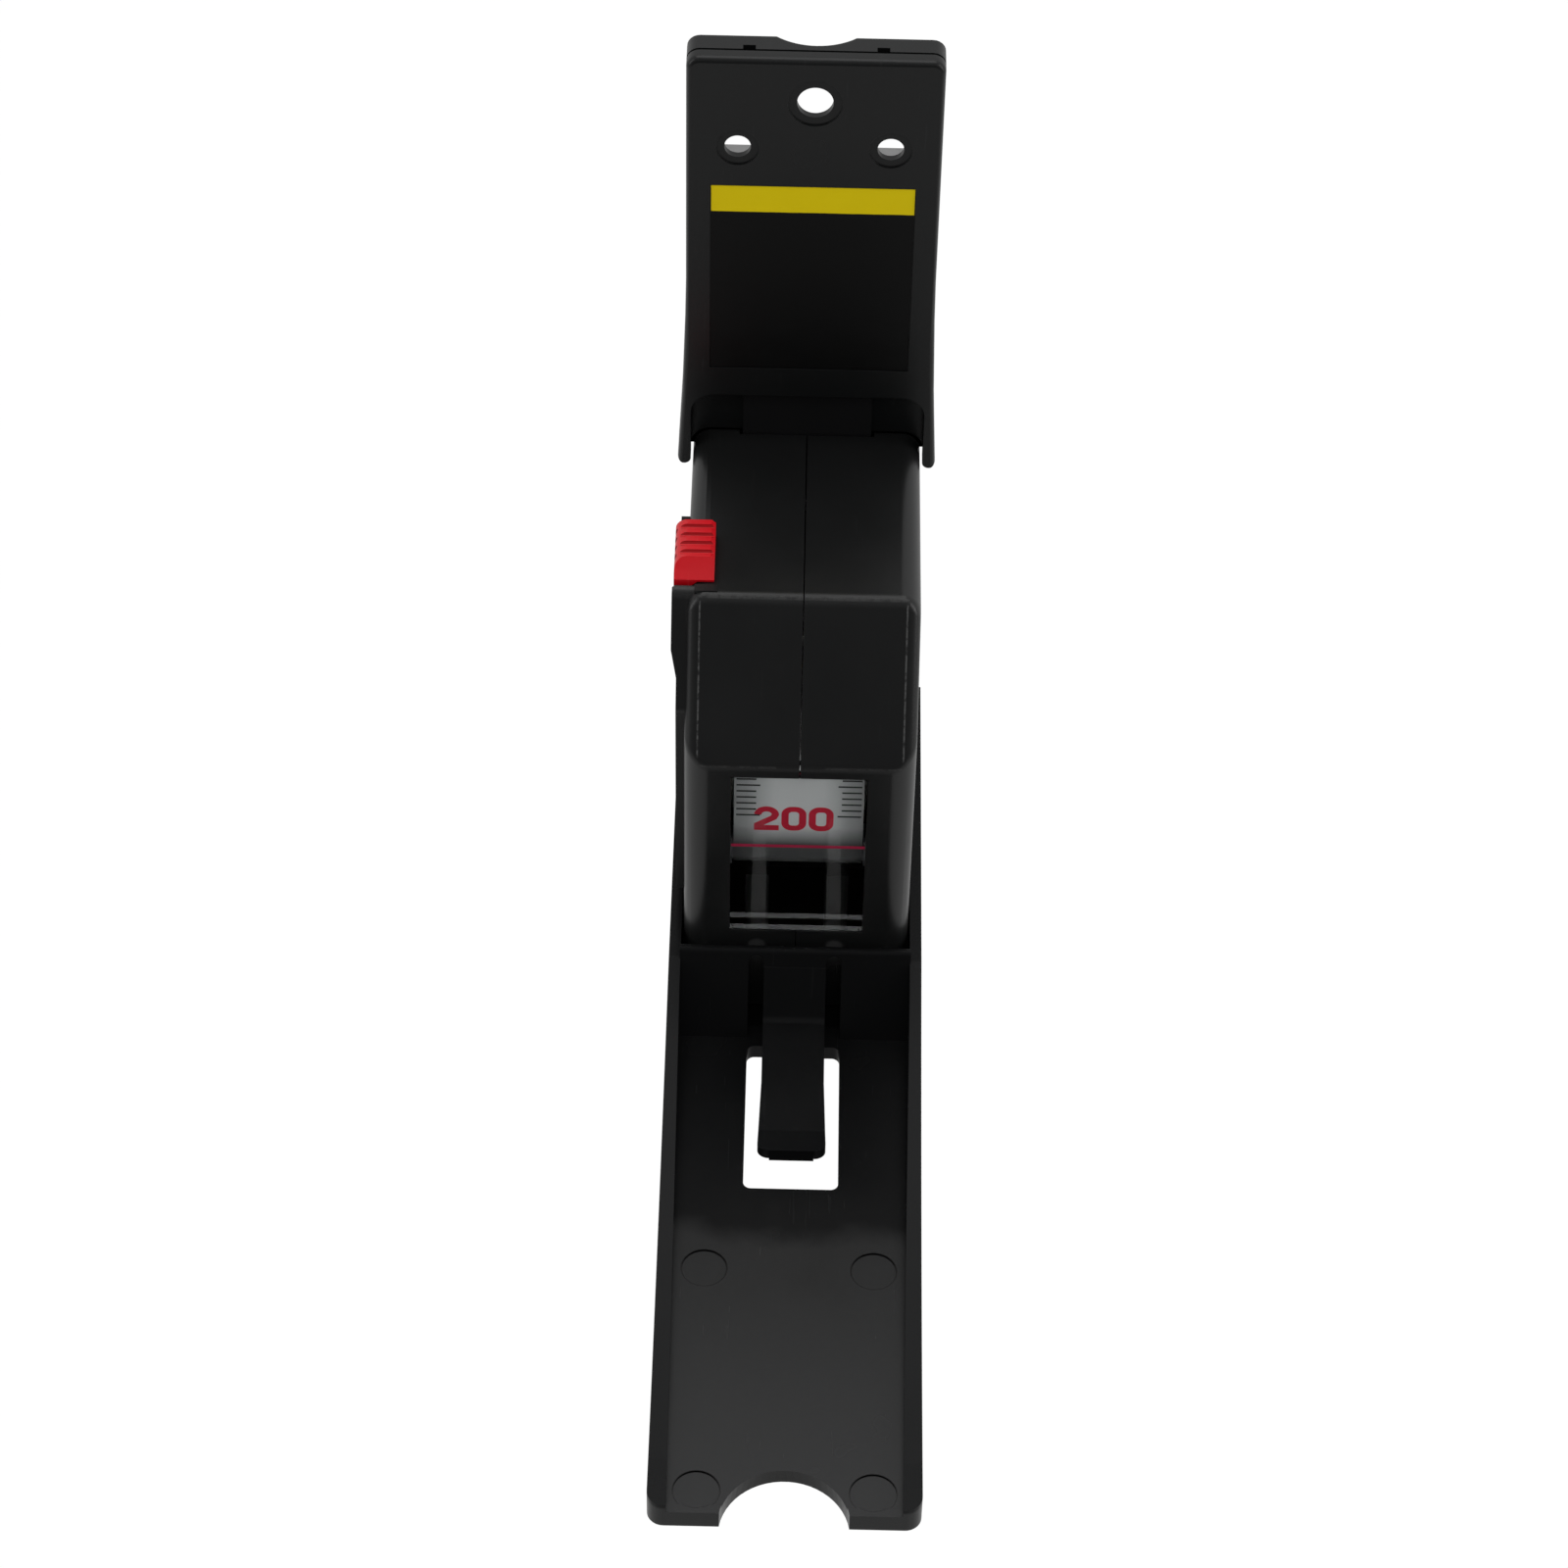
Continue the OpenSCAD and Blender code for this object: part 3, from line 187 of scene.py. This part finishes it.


# moulded plastic: cloudy tone, fine spark-eroded grain, long hairline scratches and dust; where
# asked, a painted sheen with ring marks and painted highlight lines
def mouldedPlastic(name, look):
    material, tree, base = newMaterial(
        name, look["colour"], look["roughness"], Specular_IOR_Level=look["shine"])
    plain = placed(tree)
    clouds = noise(tree, plain, look["cloudScale"], 3)
    colour = mixed(tree, ranged(tree, clouds, 0.15, 0.85, 0, 1), look["colour"], look["lighter"])
    streaks = noise(tree, placed(tree, look["streaks"], (0.1, 0.05, look["lay"])), 1, 2)
    scratchFrom = look["scratchFrom"]
    scratch = ranged(tree, streaks, scratchFrom, scratchFrom + 0.06, 0, look["scratches"])
    colour = mixed(tree, scratch, colour, look["worn"])
    colour = mixed(tree, dustShare(tree, plain, look), colour, look["dustTone"])
    if "paintedSheen" in look:
        paintedSheen, rings = look["paintedSheen"], look["rings"]
        # painted sheen: lighter colour and more shine on the floor's far stretch
        sheenZone = paintedSheenShare(tree, plain, paintedSheen)
        colour = mixed(tree, sheenZone, colour, paintedSheen["tone"])
        colour = mixed(tree, ringShare(tree, plain, rings), colour, rings["tone"])
        shine = ranged(tree, sheenZone, 0, 1, look["shine"], paintedSheen["shine"])
        feed(tree, base.inputs["Specular IOR Level"], shine)
    # painted highlight lines, speckled, each in a soft-edged box
    for low, high, tone in look.get("paintedHighlights", ()):
        speckle = ranged(tree, noise(tree, plain, look["highlightSpeckleScale"], 3, 0.7), 0.38, 0.55, 0.15, 1)
        share = worked(tree, "MULTIPLY", boxShare(tree, plain, low, high, 0.1), speckle)
        colour = mixed(tree, share, colour, tone)
    feed(tree, base.inputs["Base Color"], colour)
    gloss = ranged(tree, clouds, 0.1, 0.9, look["roughness"] - 0.06, look["roughness"] + 0.07)
    feed(tree, base.inputs["Roughness"], worked(tree, "ADD", gloss, scratch))
    bumped(tree, base, noise(tree, plain, look["grainScale"], 2, 0.6), look["grain"])
    return material


black = {
    "colour": (0.0087, 0.009, 0.0092), "lighter": (0.0117, 0.012, 0.0122), "cloudScale": 70,
    "roughness": 0.34, "shine": 0.34, "grain": 0.35, "grainScale": 5200,
    "scratches": 0.05, "scratchFrom": 0.68, "streaks": (1900, 110, 130), "lay": 0.2,
    "worn": (0.05, 0.05, 0.05), "highlightSpeckleScale": 1500,
    "dust": 0.5, "dustScale": 190, "dustTone": (0.2, 0.2, 0.2)}
# painted highlights of the case: light speckled lines beside the slope, along the roof's front edge
# and under the slope, where the rounded edges catch the light
shellBlack = mouldedPlastic("case plastic", {**black, "roughness": 0.3, "paintedHighlights": (
    ((12.75, 33.9, 46), (12.85, 45.4, 62.6), (0.09, 0.09, 0.09)),
    ((0, 33.2, 62.9), (13.2, 34.0, 63.4), (0.035, 0.035, 0.035)),
    ((3, 44.9, 44.9), (13.2, 45.4, 45.1), (0.03, 0.03, 0.03)))})
# faces inside the case and the arm's floor web: darker than the outer plastic as painted shade, and
# matte
shadedInnerBlack = mouldedPlastic("case inside shade", {
    **black, "colour": (0.004, 0.004, 0.004), "lighter": (0.005, 0.005, 0.005),
    "roughness": 0.7, "shine": 0.1, "dust": 0.0})
bracketBlack = mouldedPlastic("bracket plastic", {
    **black, "colour": (0.0068, 0.0072, 0.0074), "lighter": (0.0088, 0.0092, 0.0094),
    "roughness": 0.3, "shine": 0.27, "lay": 1.2, "dust": 0.3, "scratches": 0.1})
armBlack = mouldedPlastic("arm plastic", {
    **black, "colour": (0.0055, 0.0057, 0.006), "lighter": (0.007, 0.0072, 0.0075),
    "roughness": 0.25, "shine": 0.08, "scratches": 0.03, "lay": -0.1, "dust": 0.8,
    # painted sheen of the floor: where it starts and is full, how far its edge drifts, its colour
    # and shine
    "paintedSheen": {"start": 83.2, "full": 86.6, "drift": 4, "cloudScale": 75,
              "tone": (0.0125, 0.0128, 0.0132), "shine": 0.22},
    "rings": {"x": 10.5, "depths": (90, 123.4), "radius": 2.83, "thick": 0.14,
              "tone": (0.001, 0.001, 0.001)}})
# the tongue is moulded with the arm; its darker colour is painted shade
shadedTongueBlack = mouldedPlastic("tongue shaded plastic", {
    **black, "colour": (0.004, 0.0042, 0.0045), "lighter": (0.0055, 0.0057, 0.006),
    "roughness": 0.4, "shine": 0.12, "scratches": 0.08})
buttonRed = mouldedPlastic("button plastic", {
    **black, "colour": (0.62, 0.001, 0.008), "lighter": (0.68, 0.002, 0.01),
    "worn": (0.85, 0.16, 0.14), "roughness": 0.36, "shine": 0.4, "grain": 0.25,
    "scratches": 0.08, "dust": 0.1})
# darker red of the grip's groove walls: painted shade
shadedGrooveRed = mouldedPlastic("button groove shade", {
    **black, "colour": (0.3, 0.001, 0.004), "lighter": (0.34, 0.002, 0.005),
    "roughness": 0.5, "shine": 0.2, "dust": 0.0})
innerWhite = mouldedPlastic("inner plastic", {
    **black, "colour": (0.66, 0.65, 0.6), "lighter": (0.72, 0.71, 0.67),
    "worn": (0.5, 0.49, 0.46), "roughness": 0.45, "shine": 0.5, "scratches": 0.15, "dust": 0.0})
stripGrey = mouldedPlastic("hole strip", {
    **black, "colour": (0.3, 0.3, 0.3), "lighter": (0.42, 0.42, 0.42), "roughness": 0.6,
    "dust": 0.0})
rollerGrey = mouldedPlastic("roller plastic", {
    **black, "colour": (0.07, 0.07, 0.075), "lighter": (0.09, 0.09, 0.095), "roughness": 0.4,
    "dust": 0.0})
padRubber = mouldedPlastic("pad rubber", {
    **black, "colour": (0.018, 0.018, 0.02), "lighter": (0.026, 0.026, 0.028),
    "roughness": 0.75, "shine": 0.25, "grain": 0.8, "grainScale": 2600, "dust": 0.0})


# turned or drawn steel, with fine lines across the axis that has the largest scale
def metal(name, colour, roughness, scale):
    material, tree, base = newMaterial(name, colour, roughness, Metallic=1.0)
    lines = noise(tree, placed(tree, scale), 1, 3)
    darker, lighter = (tuple(min(1, c * share) for c in colour) for share in (0.82, 1.12))
    feed(tree, base.inputs["Base Color"], mixed(tree, lines, darker, lighter))
    gloss = ranged(tree, lines, 0.3, 0.7, roughness - 0.06, roughness + 0.08)
    feed(tree, base.inputs["Roughness"], gloss)
    bumped(tree, base, lines, 0.15)
    return material


pinSteel = metal("pin steel", (0.6, 0.6, 0.61), 0.28, (3000, 200, 200))
screwSteel = metal("screw steel", (0.5, 0.5, 0.49), 0.34, (300, 900, 900))
springSteel = metal("spring steel", (0.2, 0.21, 0.25), 0.35, (200, 3000, 3000))


# clear moulded lens, a little cloudy and wavy; the tint keeps the floor's reflection in it faint
def lensMaterial():
    material, tree, base = newMaterial(
        "lens", (0.95, 0.97, 0.97), 0.02, Transmission_Weight=1.0, IOR=1.28,
        Specular_Tint=(0.3, 0.3, 0.3, 1.0))
    plain = placed(tree)
    haze = ranged(tree, noise(tree, plain, 300, 3), 0.3, 0.75, 0, 0.02)
    feed(tree, base.inputs["Roughness"], haze)
    bumped(tree, base, noise(tree, plain, 90, 2), 0.03, 0.00003)
    return material


# where the tape is darker: low and high corner of a box, softness, and what is left of the colour
tapeDarkening = (((6.6, 30, 0), (9, 60, 200), 3.5, 0.62),  # darker towards the tape's edges
          ((0, 30, -5), (20, 60, 28.5), 3.2, 0.1))  # painted shadow under the reading line


# lacquered steel tape
def tapeMaterial(name, colour, other, roughness, shine, coat):
    material, tree, base = newMaterial(
        name, colour, roughness, Specular_IOR_Level=shine, Coat_Weight=coat)
    plain = placed(tree)
    clouds = noise(tree, placed(tree, (1, 1, 0.25)), 160, 3)
    tone = mixed(tree, clouds, colour, other)
    # painted shadow under the reading line, and darker towards the tape's edges
    for low, high, soft, left in tapeDarkening:
        dark = tuple(c * left for c in colour)
        tone = mixed(tree, boxShare(tree, plain, low, high, soft), tone, dark)
    feed(tree, base.inputs["Base Color"], tone)
    gloss = ranged(tree, clouds, 0.3, 0.7, roughness - 0.05, roughness + 0.06)
    feed(tree, base.inputs["Roughness"], gloss)
    bumped(tree, base, noise(tree, plain, 1800, 2), 0.1)
    return material


def inkMaterial(name, colour):
    material, tree, base = newMaterial(name, colour, 0.4)
    lighter = tuple(min(1, c * 1.35 + 0.004) for c in colour)
    spread = noise(tree, placed(tree), 2600, 2)
    feed(tree, base.inputs["Base Color"], mixed(tree, spread, colour, lighter))
    return material


# vinyl label: black field under a yellow band with a slightly uneven edge
def labelMaterial(look):
    material, tree, base = newMaterial("label vinyl", look["field"], 0.42, Specular_IOR_Level=0.13)
    plain = placed(tree)
    most = look["wobble"] * mm
    wobble = ranged(tree, noise(tree, plain, 500, 2), 0, 1, -most, most)
    edge = worked(tree, "ADD", split(tree, plain)["Z"], wobble)
    low, high = ((look["bandFrom"] + side * look["soft"]) * mm for side in (-1, 1))
    band = ranged(tree, edge, low, high, 0, 1)
    clouds = noise(tree, plain, 260, 4)
    field = mixed(tree, clouds, look["field"], look["fieldWorn"])
    yellow = mixed(tree, clouds, look["yellow"], look["yellowWorn"])
    feed(tree, base.inputs["Base Color"], mixed(tree, band, field, yellow))
    feed(tree, base.inputs["Roughness"], ranged(tree, clouds, 0.3, 0.7, 0.38, 0.46))
    bumped(tree, base, noise(tree, plain, 900, 2), 0.05)
    return material


lensClear = lensMaterial()
tapeWhite = tapeMaterial("tape printed face", (0.45, 0.45, 0.45), (0.5, 0.5, 0.5), 0.4, 0.45, 0.3)
tapeBlack = tapeMaterial(
    "tape reverse", (0.008, 0.008, 0.0085), (0.01, 0.01, 0.0105), 0.75, 0.15, 0.0)
inkBlack = inkMaterial("scale ink", (0.004, 0.004, 0.004))
inkRed = inkMaterial("number ink", (0.36, 0.003, 0.02))
lineRed = inkMaterial("reading line ink", (0.34, 0.002, 0.04))
label = {"field": (0.003, 0.003, 0.003), "fieldWorn": (0.004, 0.004, 0.004),
         "yellow": (0.92, 0.71, 0.0), "yellowWorn": (0.96, 0.75, 0.001),
         "bandFrom": 10.2, "soft": 0.05, "wobble": 0.04}  # heights in the frame, mm
labelVinyl = labelMaterial(label)
print("materials made")


# merged copy of a node with its outer edges rounded, in place of the node
def moulded(name, body, material, look):
    mesh = nodes[name].data.copy()
    mesh.name = name + "Moulded"
    shape = bmesh.new()
    shape.from_mesh(mesh)
    bmesh.ops.remove_doubles(shape, verts=shape.verts, dist=2e-6)
    bmesh.ops.dissolve_limit(shape, angle_limit=radians(0.6), verts=shape.verts, edges=shape.edges)
    shape.to_mesh(mesh)
    shape.free()
    mesh.materials.clear()
    mesh.materials.append(material)
    if "second" in look:
        mesh.materials.append(look["second"])
        for face in mesh.polygons:
            face.material_index = 1 if look["chosen"](face) else 0
    piece = bpy.data.objects.new(name + "Moulded", mesh)
    bpy.context.collection.objects.link(piece)
    mesh.shade_smooth()
    mesh.set_sharp_from_angle(angle=radians(look["sharp"]))
    bevel = piece.modifiers.new("edges", "BEVEL")
    bevel.width = look["edge"] * mm
    bevel.segments = 3
    bevel.limit_method = "ANGLE"
    bevel.angle_limit = radians(look["sharp"])
    weighted = piece.modifiers.new("normals", "WEIGHTED_NORMAL")
    weighted.keep_sharp = True
    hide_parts(name)
    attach(piece, body)


# the room within the case's walls, with a point of the slope's plane and the way it looks
hollow = {"half": 13.3, "back": 1.6, "front": 44.1, "low": 1.6, "high": 62,
          "slopeAt": (33.6, 63.2), "slopeOut": (0.843, 0.538), "slopeWall": 1}


def insideCase(face):
    x, depth, height = placeOf(face.center)
    (slopeDepth, slopeHeight), (outDepth, outHeight) = hollow["slopeAt"], hollow["slopeOut"]
    past = (depth - slopeDepth) * outDepth + (height - slopeHeight) * outHeight
    return (abs(x) < hollow["half"] and hollow["back"] < depth < hollow["front"]
            and hollow["low"] < height < hollow["high"] and past < -hollow["slopeWall"])


# small faces of the button's grip that lean along its travel; they get a darker red as painted
# shade
grooves = {"lean": 0.25, "over": 60.9, "from": 22.6, "to": 29.2, "area": 12}


def inGroove(face):
    depth, height = placeOf(face.center)[1:]
    return (abs(face.normal.y) > grooves["lean"] and height > grooves["over"]
            and grooves["from"] < depth < grooves["to"] and face.area < grooves["area"] * mm * mm)


shells = {"edge": 0.12, "sharp": 32, "slot": "shell"}
# faces inside the case get the darker plastic of painted shade
cased = {**shells, "second": shadedInnerBlack, "chosen": insideCase}
moulded("case_left", "tape_case", shellBlack, cased)
moulded("case_right", "tape_case", shellBlack, cased)
moulded("head_arm", "tape_case", armBlack, {**shells, "edge": 0.25})
moulded("latch_tongue", "latch", shadedTongueBlack, {**shells, "edge": 0.2})
moulded("bracket_front_plate", "wall_bracket", bracketBlack, {**shells, "edge": 0.1})
moulded("bracket_back_plate", "wall_bracket", bracketBlack, {**shells, "edge": 0.25})
moulded("brake_button", "button", buttonRed, {
    **shells, "edge": 0.08, "slot": "red_plastic", "second": shadedGrooveRed, "chosen": inGroove})
print("moulded pieces made")

for names, material in (
        (("window_lens",), lensClear),
        (("label_plate",), labelVinyl),
        (("clamped_tape", "tape_coil"), tapeWhite),
        (("tape_clamp_bar", "clamp_screws", "case_screws"), screwSteel),
        (("drum_axle", "roller_pins", "lever_pin"), pinSteel),
        (("tape_drum", "drum_cap", "brake_lever"), innerWhite),
        (("mainspring",), springSteel),
        (("top_front_roller", "low_front_roller", "rear_roller"), rollerGrey),
        (("brake_pad",), padRubber)):
    for name in names:
        mesh = nodes[name].data
        mesh.materials.clear()
        mesh.materials.append(material)


def box(shape, low, high):
    made = bmesh.ops.create_cube(shape, size=1)
    bmesh.ops.scale(shape, vec=Vector([abs(c) for c in high - low]), verts=made["verts"])
    bmesh.ops.translate(shape, vec=(low + high) / 2, verts=made["verts"])


def pieceFrom(shape, name, material):
    bmesh.ops.recalc_face_normals(shape, faces=shape.faces)
    mesh = bpy.data.meshes.new(name)
    shape.to_mesh(mesh)
    shape.free()
    mesh.materials.append(material)
    piece = bpy.data.objects.new(name, mesh)
    bpy.context.collection.objects.link(piece)
    return piece


# floor of the arm between the case and the cross wall, in the darker plastic of painted shade
web = {"half": 13, "from": 42, "to": 49.85, "low": 0.03, "high": 0.26}


def armFloorWeb():
    shape = bmesh.new()
    box(shape, at(-web["half"], web["to"], web["low"]), at(web["half"], web["from"], web["high"]))
    piece = pieceFrom(shape, "armFloorWeb", shadedInnerBlack)
    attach(piece, "tape_case")


# grey strips seen through the bracket's side holes
stripBox = {"x": 9.2, "half": 2.2, "from": 0.1, "to": 2.5, "low": 106.55, "high": 106.8}


def holeStrips():
    shape = bmesh.new()
    for side in (-1, 1):
        middle = side * stripBox["x"]
        box(shape, at(middle - stripBox["half"], stripBox["to"], stripBox["low"]),
            at(middle + stripBox["half"], stripBox["from"], stripBox["high"]))
    piece = pieceFrom(shape, "holeStrips", stripGrey)
    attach(piece, "wall_bracket")


tape = {"face": 41.6, "width": 16.4, "ink": 0.012}  # depth of the printed face, ink's thickness
# tape on its way in the case: printed on the outer side, in front of the given depth
run = {"inside": (0, 20, 30), "printedFrom": 12}


def tapeInside():
    inside, printedFrom = at(*run["inside"]), at(0, run["printedFrom"], 0).y
    mesh = nodes["tape_run"].data.copy()
    mesh.name = "tapeInside"
    mesh.materials.clear()
    mesh.materials.append(tapeWhite)
    mesh.materials.append(tapeBlack)
    shape = bmesh.new()
    shape.from_mesh(mesh)
    bmesh.ops.remove_doubles(shape, verts=shape.verts, dist=1e-6)
    bmesh.ops.dissolve_limit(shape, angle_limit=radians(0.5), verts=shape.verts, edges=shape.edges)
    for face in shape.faces:
        middle = face.calc_center_median()
        outward = face.normal.dot(middle - inside) > 0
        printed = outward and abs(face.normal.x) < 0.5 and middle.y < printedFrom
        face.material_index = 0 if printed else 1
    shape.to_mesh(mesh)
    shape.free()
    mesh.shade_smooth()
    mesh.set_sharp_from_angle(angle=radians(35))
    piece = bpy.data.objects.new("tapeInside", mesh)
    bpy.context.collection.objects.link(piece)
    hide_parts("tape_run")
    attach(piece, "tape_case")


# free tape between the roof and the bracket, cut into bands along its height and left unattached
def freeTape():
    low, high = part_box("free_tape")
    parts = 8
    shape = bmesh.new()
    box(shape, Vector(low), Vector(high))
    for step in range(1, parts):
        height = low[2] + (high[2] - low[2]) * step / parts
        bmesh.ops.bisect_plane(shape, geom=shape.verts[:] + shape.edges[:] + shape.faces[:],
                               plane_co=(0, 0, height), plane_no=(0, 0, 1))
    piece = pieceFrom(shape, "freeTape", tapeBlack)
    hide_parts("free_tape")
    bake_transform(piece)


# ticks of the printed scale behind the window, sunk a little into the tape
ticks = {"first": 33.75, "pitch": 1.07, "count": 7, "thick": 0.27, "inset": 0.3,
         "long": 3.0, "longEvery": 5, "short": 2.5, "sunk": 0.01}


def scaleTicks():
    inkFace, half = tape["face"] + tape["ink"], ticks["thick"] / 2
    shape = bmesh.new()
    for side in (-1, 1):
        edge = side * (tape["width"] / 2 - ticks["inset"])
        for step in range(ticks["count"]):
            height = ticks["first"] + ticks["pitch"] * step
            inner = edge - side * (ticks["short"] if step % ticks["longEvery"] else ticks["long"])
            box(shape, at(min(edge, inner), inkFace, height - half),
                at(max(edge, inner), tape["face"] - ticks["sunk"], height + half))
    piece = pieceFrom(shape, "scaleTicks", inkBlack)
    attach(piece, "tape_case")


# squared figures with round corners: an open 2 and two closed rings
number = {"height": 4.3, "width": 3.15, "pitch": 3.45, "stroke": 0.92, "corner": 0.9,
          "middle": 33.2, "shift": -0.6,  # place on the tape, up and across
          "hook": 0.9, "bend": (0.8, 0.1), "foot": 0.5}  # the 2: its round top, its bend, its foot


# flat stroke of ink along a line of points given across and up, in mm
def inkStroke(shape, points, closed, depth):
    count = len(points)
    rims = []
    for i, point in enumerate(points):
        before = points[i - 1] if closed or i else None
        after = points[(i + 1) % count] if closed or i < count - 1 else None
        ahead = (after - point).normalized() if after else (point - before).normalized()
        behind = (point - before).normalized() if before else ahead
        along = (ahead + behind).normalized()
        half = number["stroke"] / 2 / max(0.5, along.dot(ahead))  # wider where the line turns
        side = Vector((-along.y, along.x)) * half
        rims.append([shape.verts.new(at(spot.x, depth, spot.y))
                     for spot in (point + side, point - side)])
    for i in range(count if closed else count - 1):
        left, right = rims[i], rims[(i + 1) % count]
        shape.faces.new((left[0], left[1], right[1], right[0]))


def scaleNumber():
    half = (number["width"] - number["stroke"]) / 2
    tall = (number["height"] - number["stroke"]) / 2
    corner = number["corner"]
    ring = []
    for index, (x, y) in enumerate(((1, -1), (1, 1), (-1, 1), (-1, -1))):
        centre = Vector((x * (half - corner), y * (tall - corner)))
        for step in range(7):
            angle = radians(-90 + 90 * index + 15 * step)
            ring.append(centre + corner * Vector((math.cos(angle), math.sin(angle))))
    rise = half * number["hook"]
    two = []
    for step in range(13):
        angle = radians(180 - 15 * step)
        two.append(Vector((half * math.cos(angle), tall - rise + rise * math.sin(angle))))
    bendAcross, bendUp = number["bend"]
    two += [Vector((half * bendAcross, tall * bendUp)), Vector((-half, -tall + number["foot"])),
            Vector((-half, -tall)), Vector((half + number["stroke"] / 2, -tall))]
    shape = bmesh.new()
    for index, (points, closed) in enumerate(((two, False), (ring, True), (ring, True))):
        shift = Vector(((index - 1) * number["pitch"] + number["shift"], number["middle"]))
        inkStroke(shape, [point + shift for point in points], closed, tape["face"] + tape["ink"])
    piece = pieceFrom(shape, "scaleNumber", inkRed)
    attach(piece, "tape_case")


# red reading line printed on the lens
line = {"width": 16.9, "middle": 31.0, "thick": 0.45, "front": 45.07, "back": 45.045}


def readingLine():
    shape = bmesh.new()
    half, low = line["width"] / 2, line["middle"] - line["thick"] / 2
    box(shape, at(-half, line["front"], low), at(half, line["back"], low + line["thick"]))
    piece = pieceFrom(shape, "readingLine", lineRed)
    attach(piece, "tape_case")


armFloorWeb()
holeStrips()
tapeInside()
freeTape()
scaleTicks()
scaleNumber()
readingLine()
print("tape and scale made")


# low enough for the case at the end of its travel; it glows for the camera more than for other rays
floor = {"height": -2.25, "size": 14, "colour": (0.82, 0.82, 0.81), "glow": 1.1,
         "glowShare": 0.3, "glowShareSeen": 0.86}


def makeFloor():
    shape = bmesh.new()
    bmesh.ops.create_grid(shape, x_segments=1, y_segments=1, size=floor["size"] / 2)
    bmesh.ops.translate(shape, vec=(0, 0, floor["height"]), verts=shape.verts)
    mesh = bpy.data.meshes.new("floor")
    shape.to_mesh(mesh)
    shape.free()
    material, tree, base = newMaterial("floor", floor["colour"], 0.9, Specular_IOR_Level=0.1)
    darker = tuple(c * 0.98 for c in floor["colour"])
    tone = mixed(tree, noise(tree, placed(tree), 40, 2), floor["colour"], darker)
    feed(tree, base.inputs["Base Color"], tone)
    glow = add(tree, "Emission", {"Color": (1, 1, 1, 1), "Strength": floor["glow"]}).outputs
    path = add(tree, "LightPath").outputs
    share = ranged(tree, path["Is Camera Ray"], 0, 1, floor["glowShare"], floor["glowShareSeen"])
    mix = add(tree, "MixShader", {"Fac": share, 1: base.outputs["BSDF"], 2: glow["Emission"]})
    feed(tree, tree.nodes["Material Output"].inputs["Surface"], mix.outputs["Shader"])
    mesh.materials.append(material)
    surface = bpy.data.objects.new("floor", mesh)
    bpy.context.collection.objects.link(surface)


# white for the camera and through the lens, and a soft light that is dimmer behind the camera
def makeWorld():
    world = bpy.data.worlds.new("studio")
    bpy.context.scene.world = world
    world.use_nodes = True
    tree = world.node_tree
    sky = tree.nodes["Background"]
    sky.inputs["Strength"].default_value = 1.0
    direction = split(tree, add(tree, "TexCoord").outputs["Generated"])
    soft = ranged(tree, direction["Y"], -0.9, 0.5, 0.12, 0.75)
    path = add(tree, "LightPath").outputs
    seen = worked(tree, "MAXIMUM", path["Is Camera Ray"], path["Is Transmission Ray"])
    light = mixed(tree, soft, (0, 0, 0), (1, 1, 1))
    feed(tree, sky.inputs["Color"], mixed(tree, seen, light, (1, 1, 1)))


# soft boxes: place, size and watts
lamps = {"upper soft box": ((0.0, 0.35, 1.0), (0.9, 0.5), 2.6),
         "left soft box": ((-0.9, -0.15, 0.35), (0.35, 0.9), 1.8),
         "right soft box": ((0.9, -0.15, 0.35), (0.35, 0.9), 2.6),
         "front soft box": ((0, -0.9, 1.1), (0.6, 0.6), 3.4)}
lampAim = Vector((0, -0.05, 0))
view = {"place": (-0.00194, -0.4299, 0.3438), "tilt": 44.5, "roll": 1.27, "lens": 101.25}


def makeLamps():
    for name, (place, size, watts) in lamps.items():
        light = bpy.data.lights.new(name, "AREA")
        light.shape = "RECTANGLE"
        light.size, light.size_y = size
        light.energy = watts
        holder = bpy.data.objects.new(name, light)
        holder.location = place
        holder.rotation_euler = (lampAim - Vector(place)).to_track_quat("-Z", "Y").to_euler()
        holder.visible_glossy = name != "front soft box"  # no second highlight on the edges
        bpy.context.collection.objects.link(holder)


def makeCamera():
    eye = bpy.data.cameras.new("camera")
    eye.sensor_width = 36
    eye.lens = view["lens"]
    eye.clip_start = 0.02
    eye.clip_end = 20
    camera = bpy.data.objects.new("camera", eye)
    camera.matrix_world = (Matrix.Translation(view["place"])
                           @ Matrix.Rotation(radians(view["tilt"]), 4, "X")
                           @ Matrix.Rotation(radians(view["roll"]), 4, "Z"))
    bpy.context.collection.objects.link(camera)
    bpy.context.scene.camera = camera


makeFloor()
makeWorld()
makeLamps()
makeCamera()
bpy.context.scene.view_settings.view_transform = "Standard"
print("floor, light and camera set")
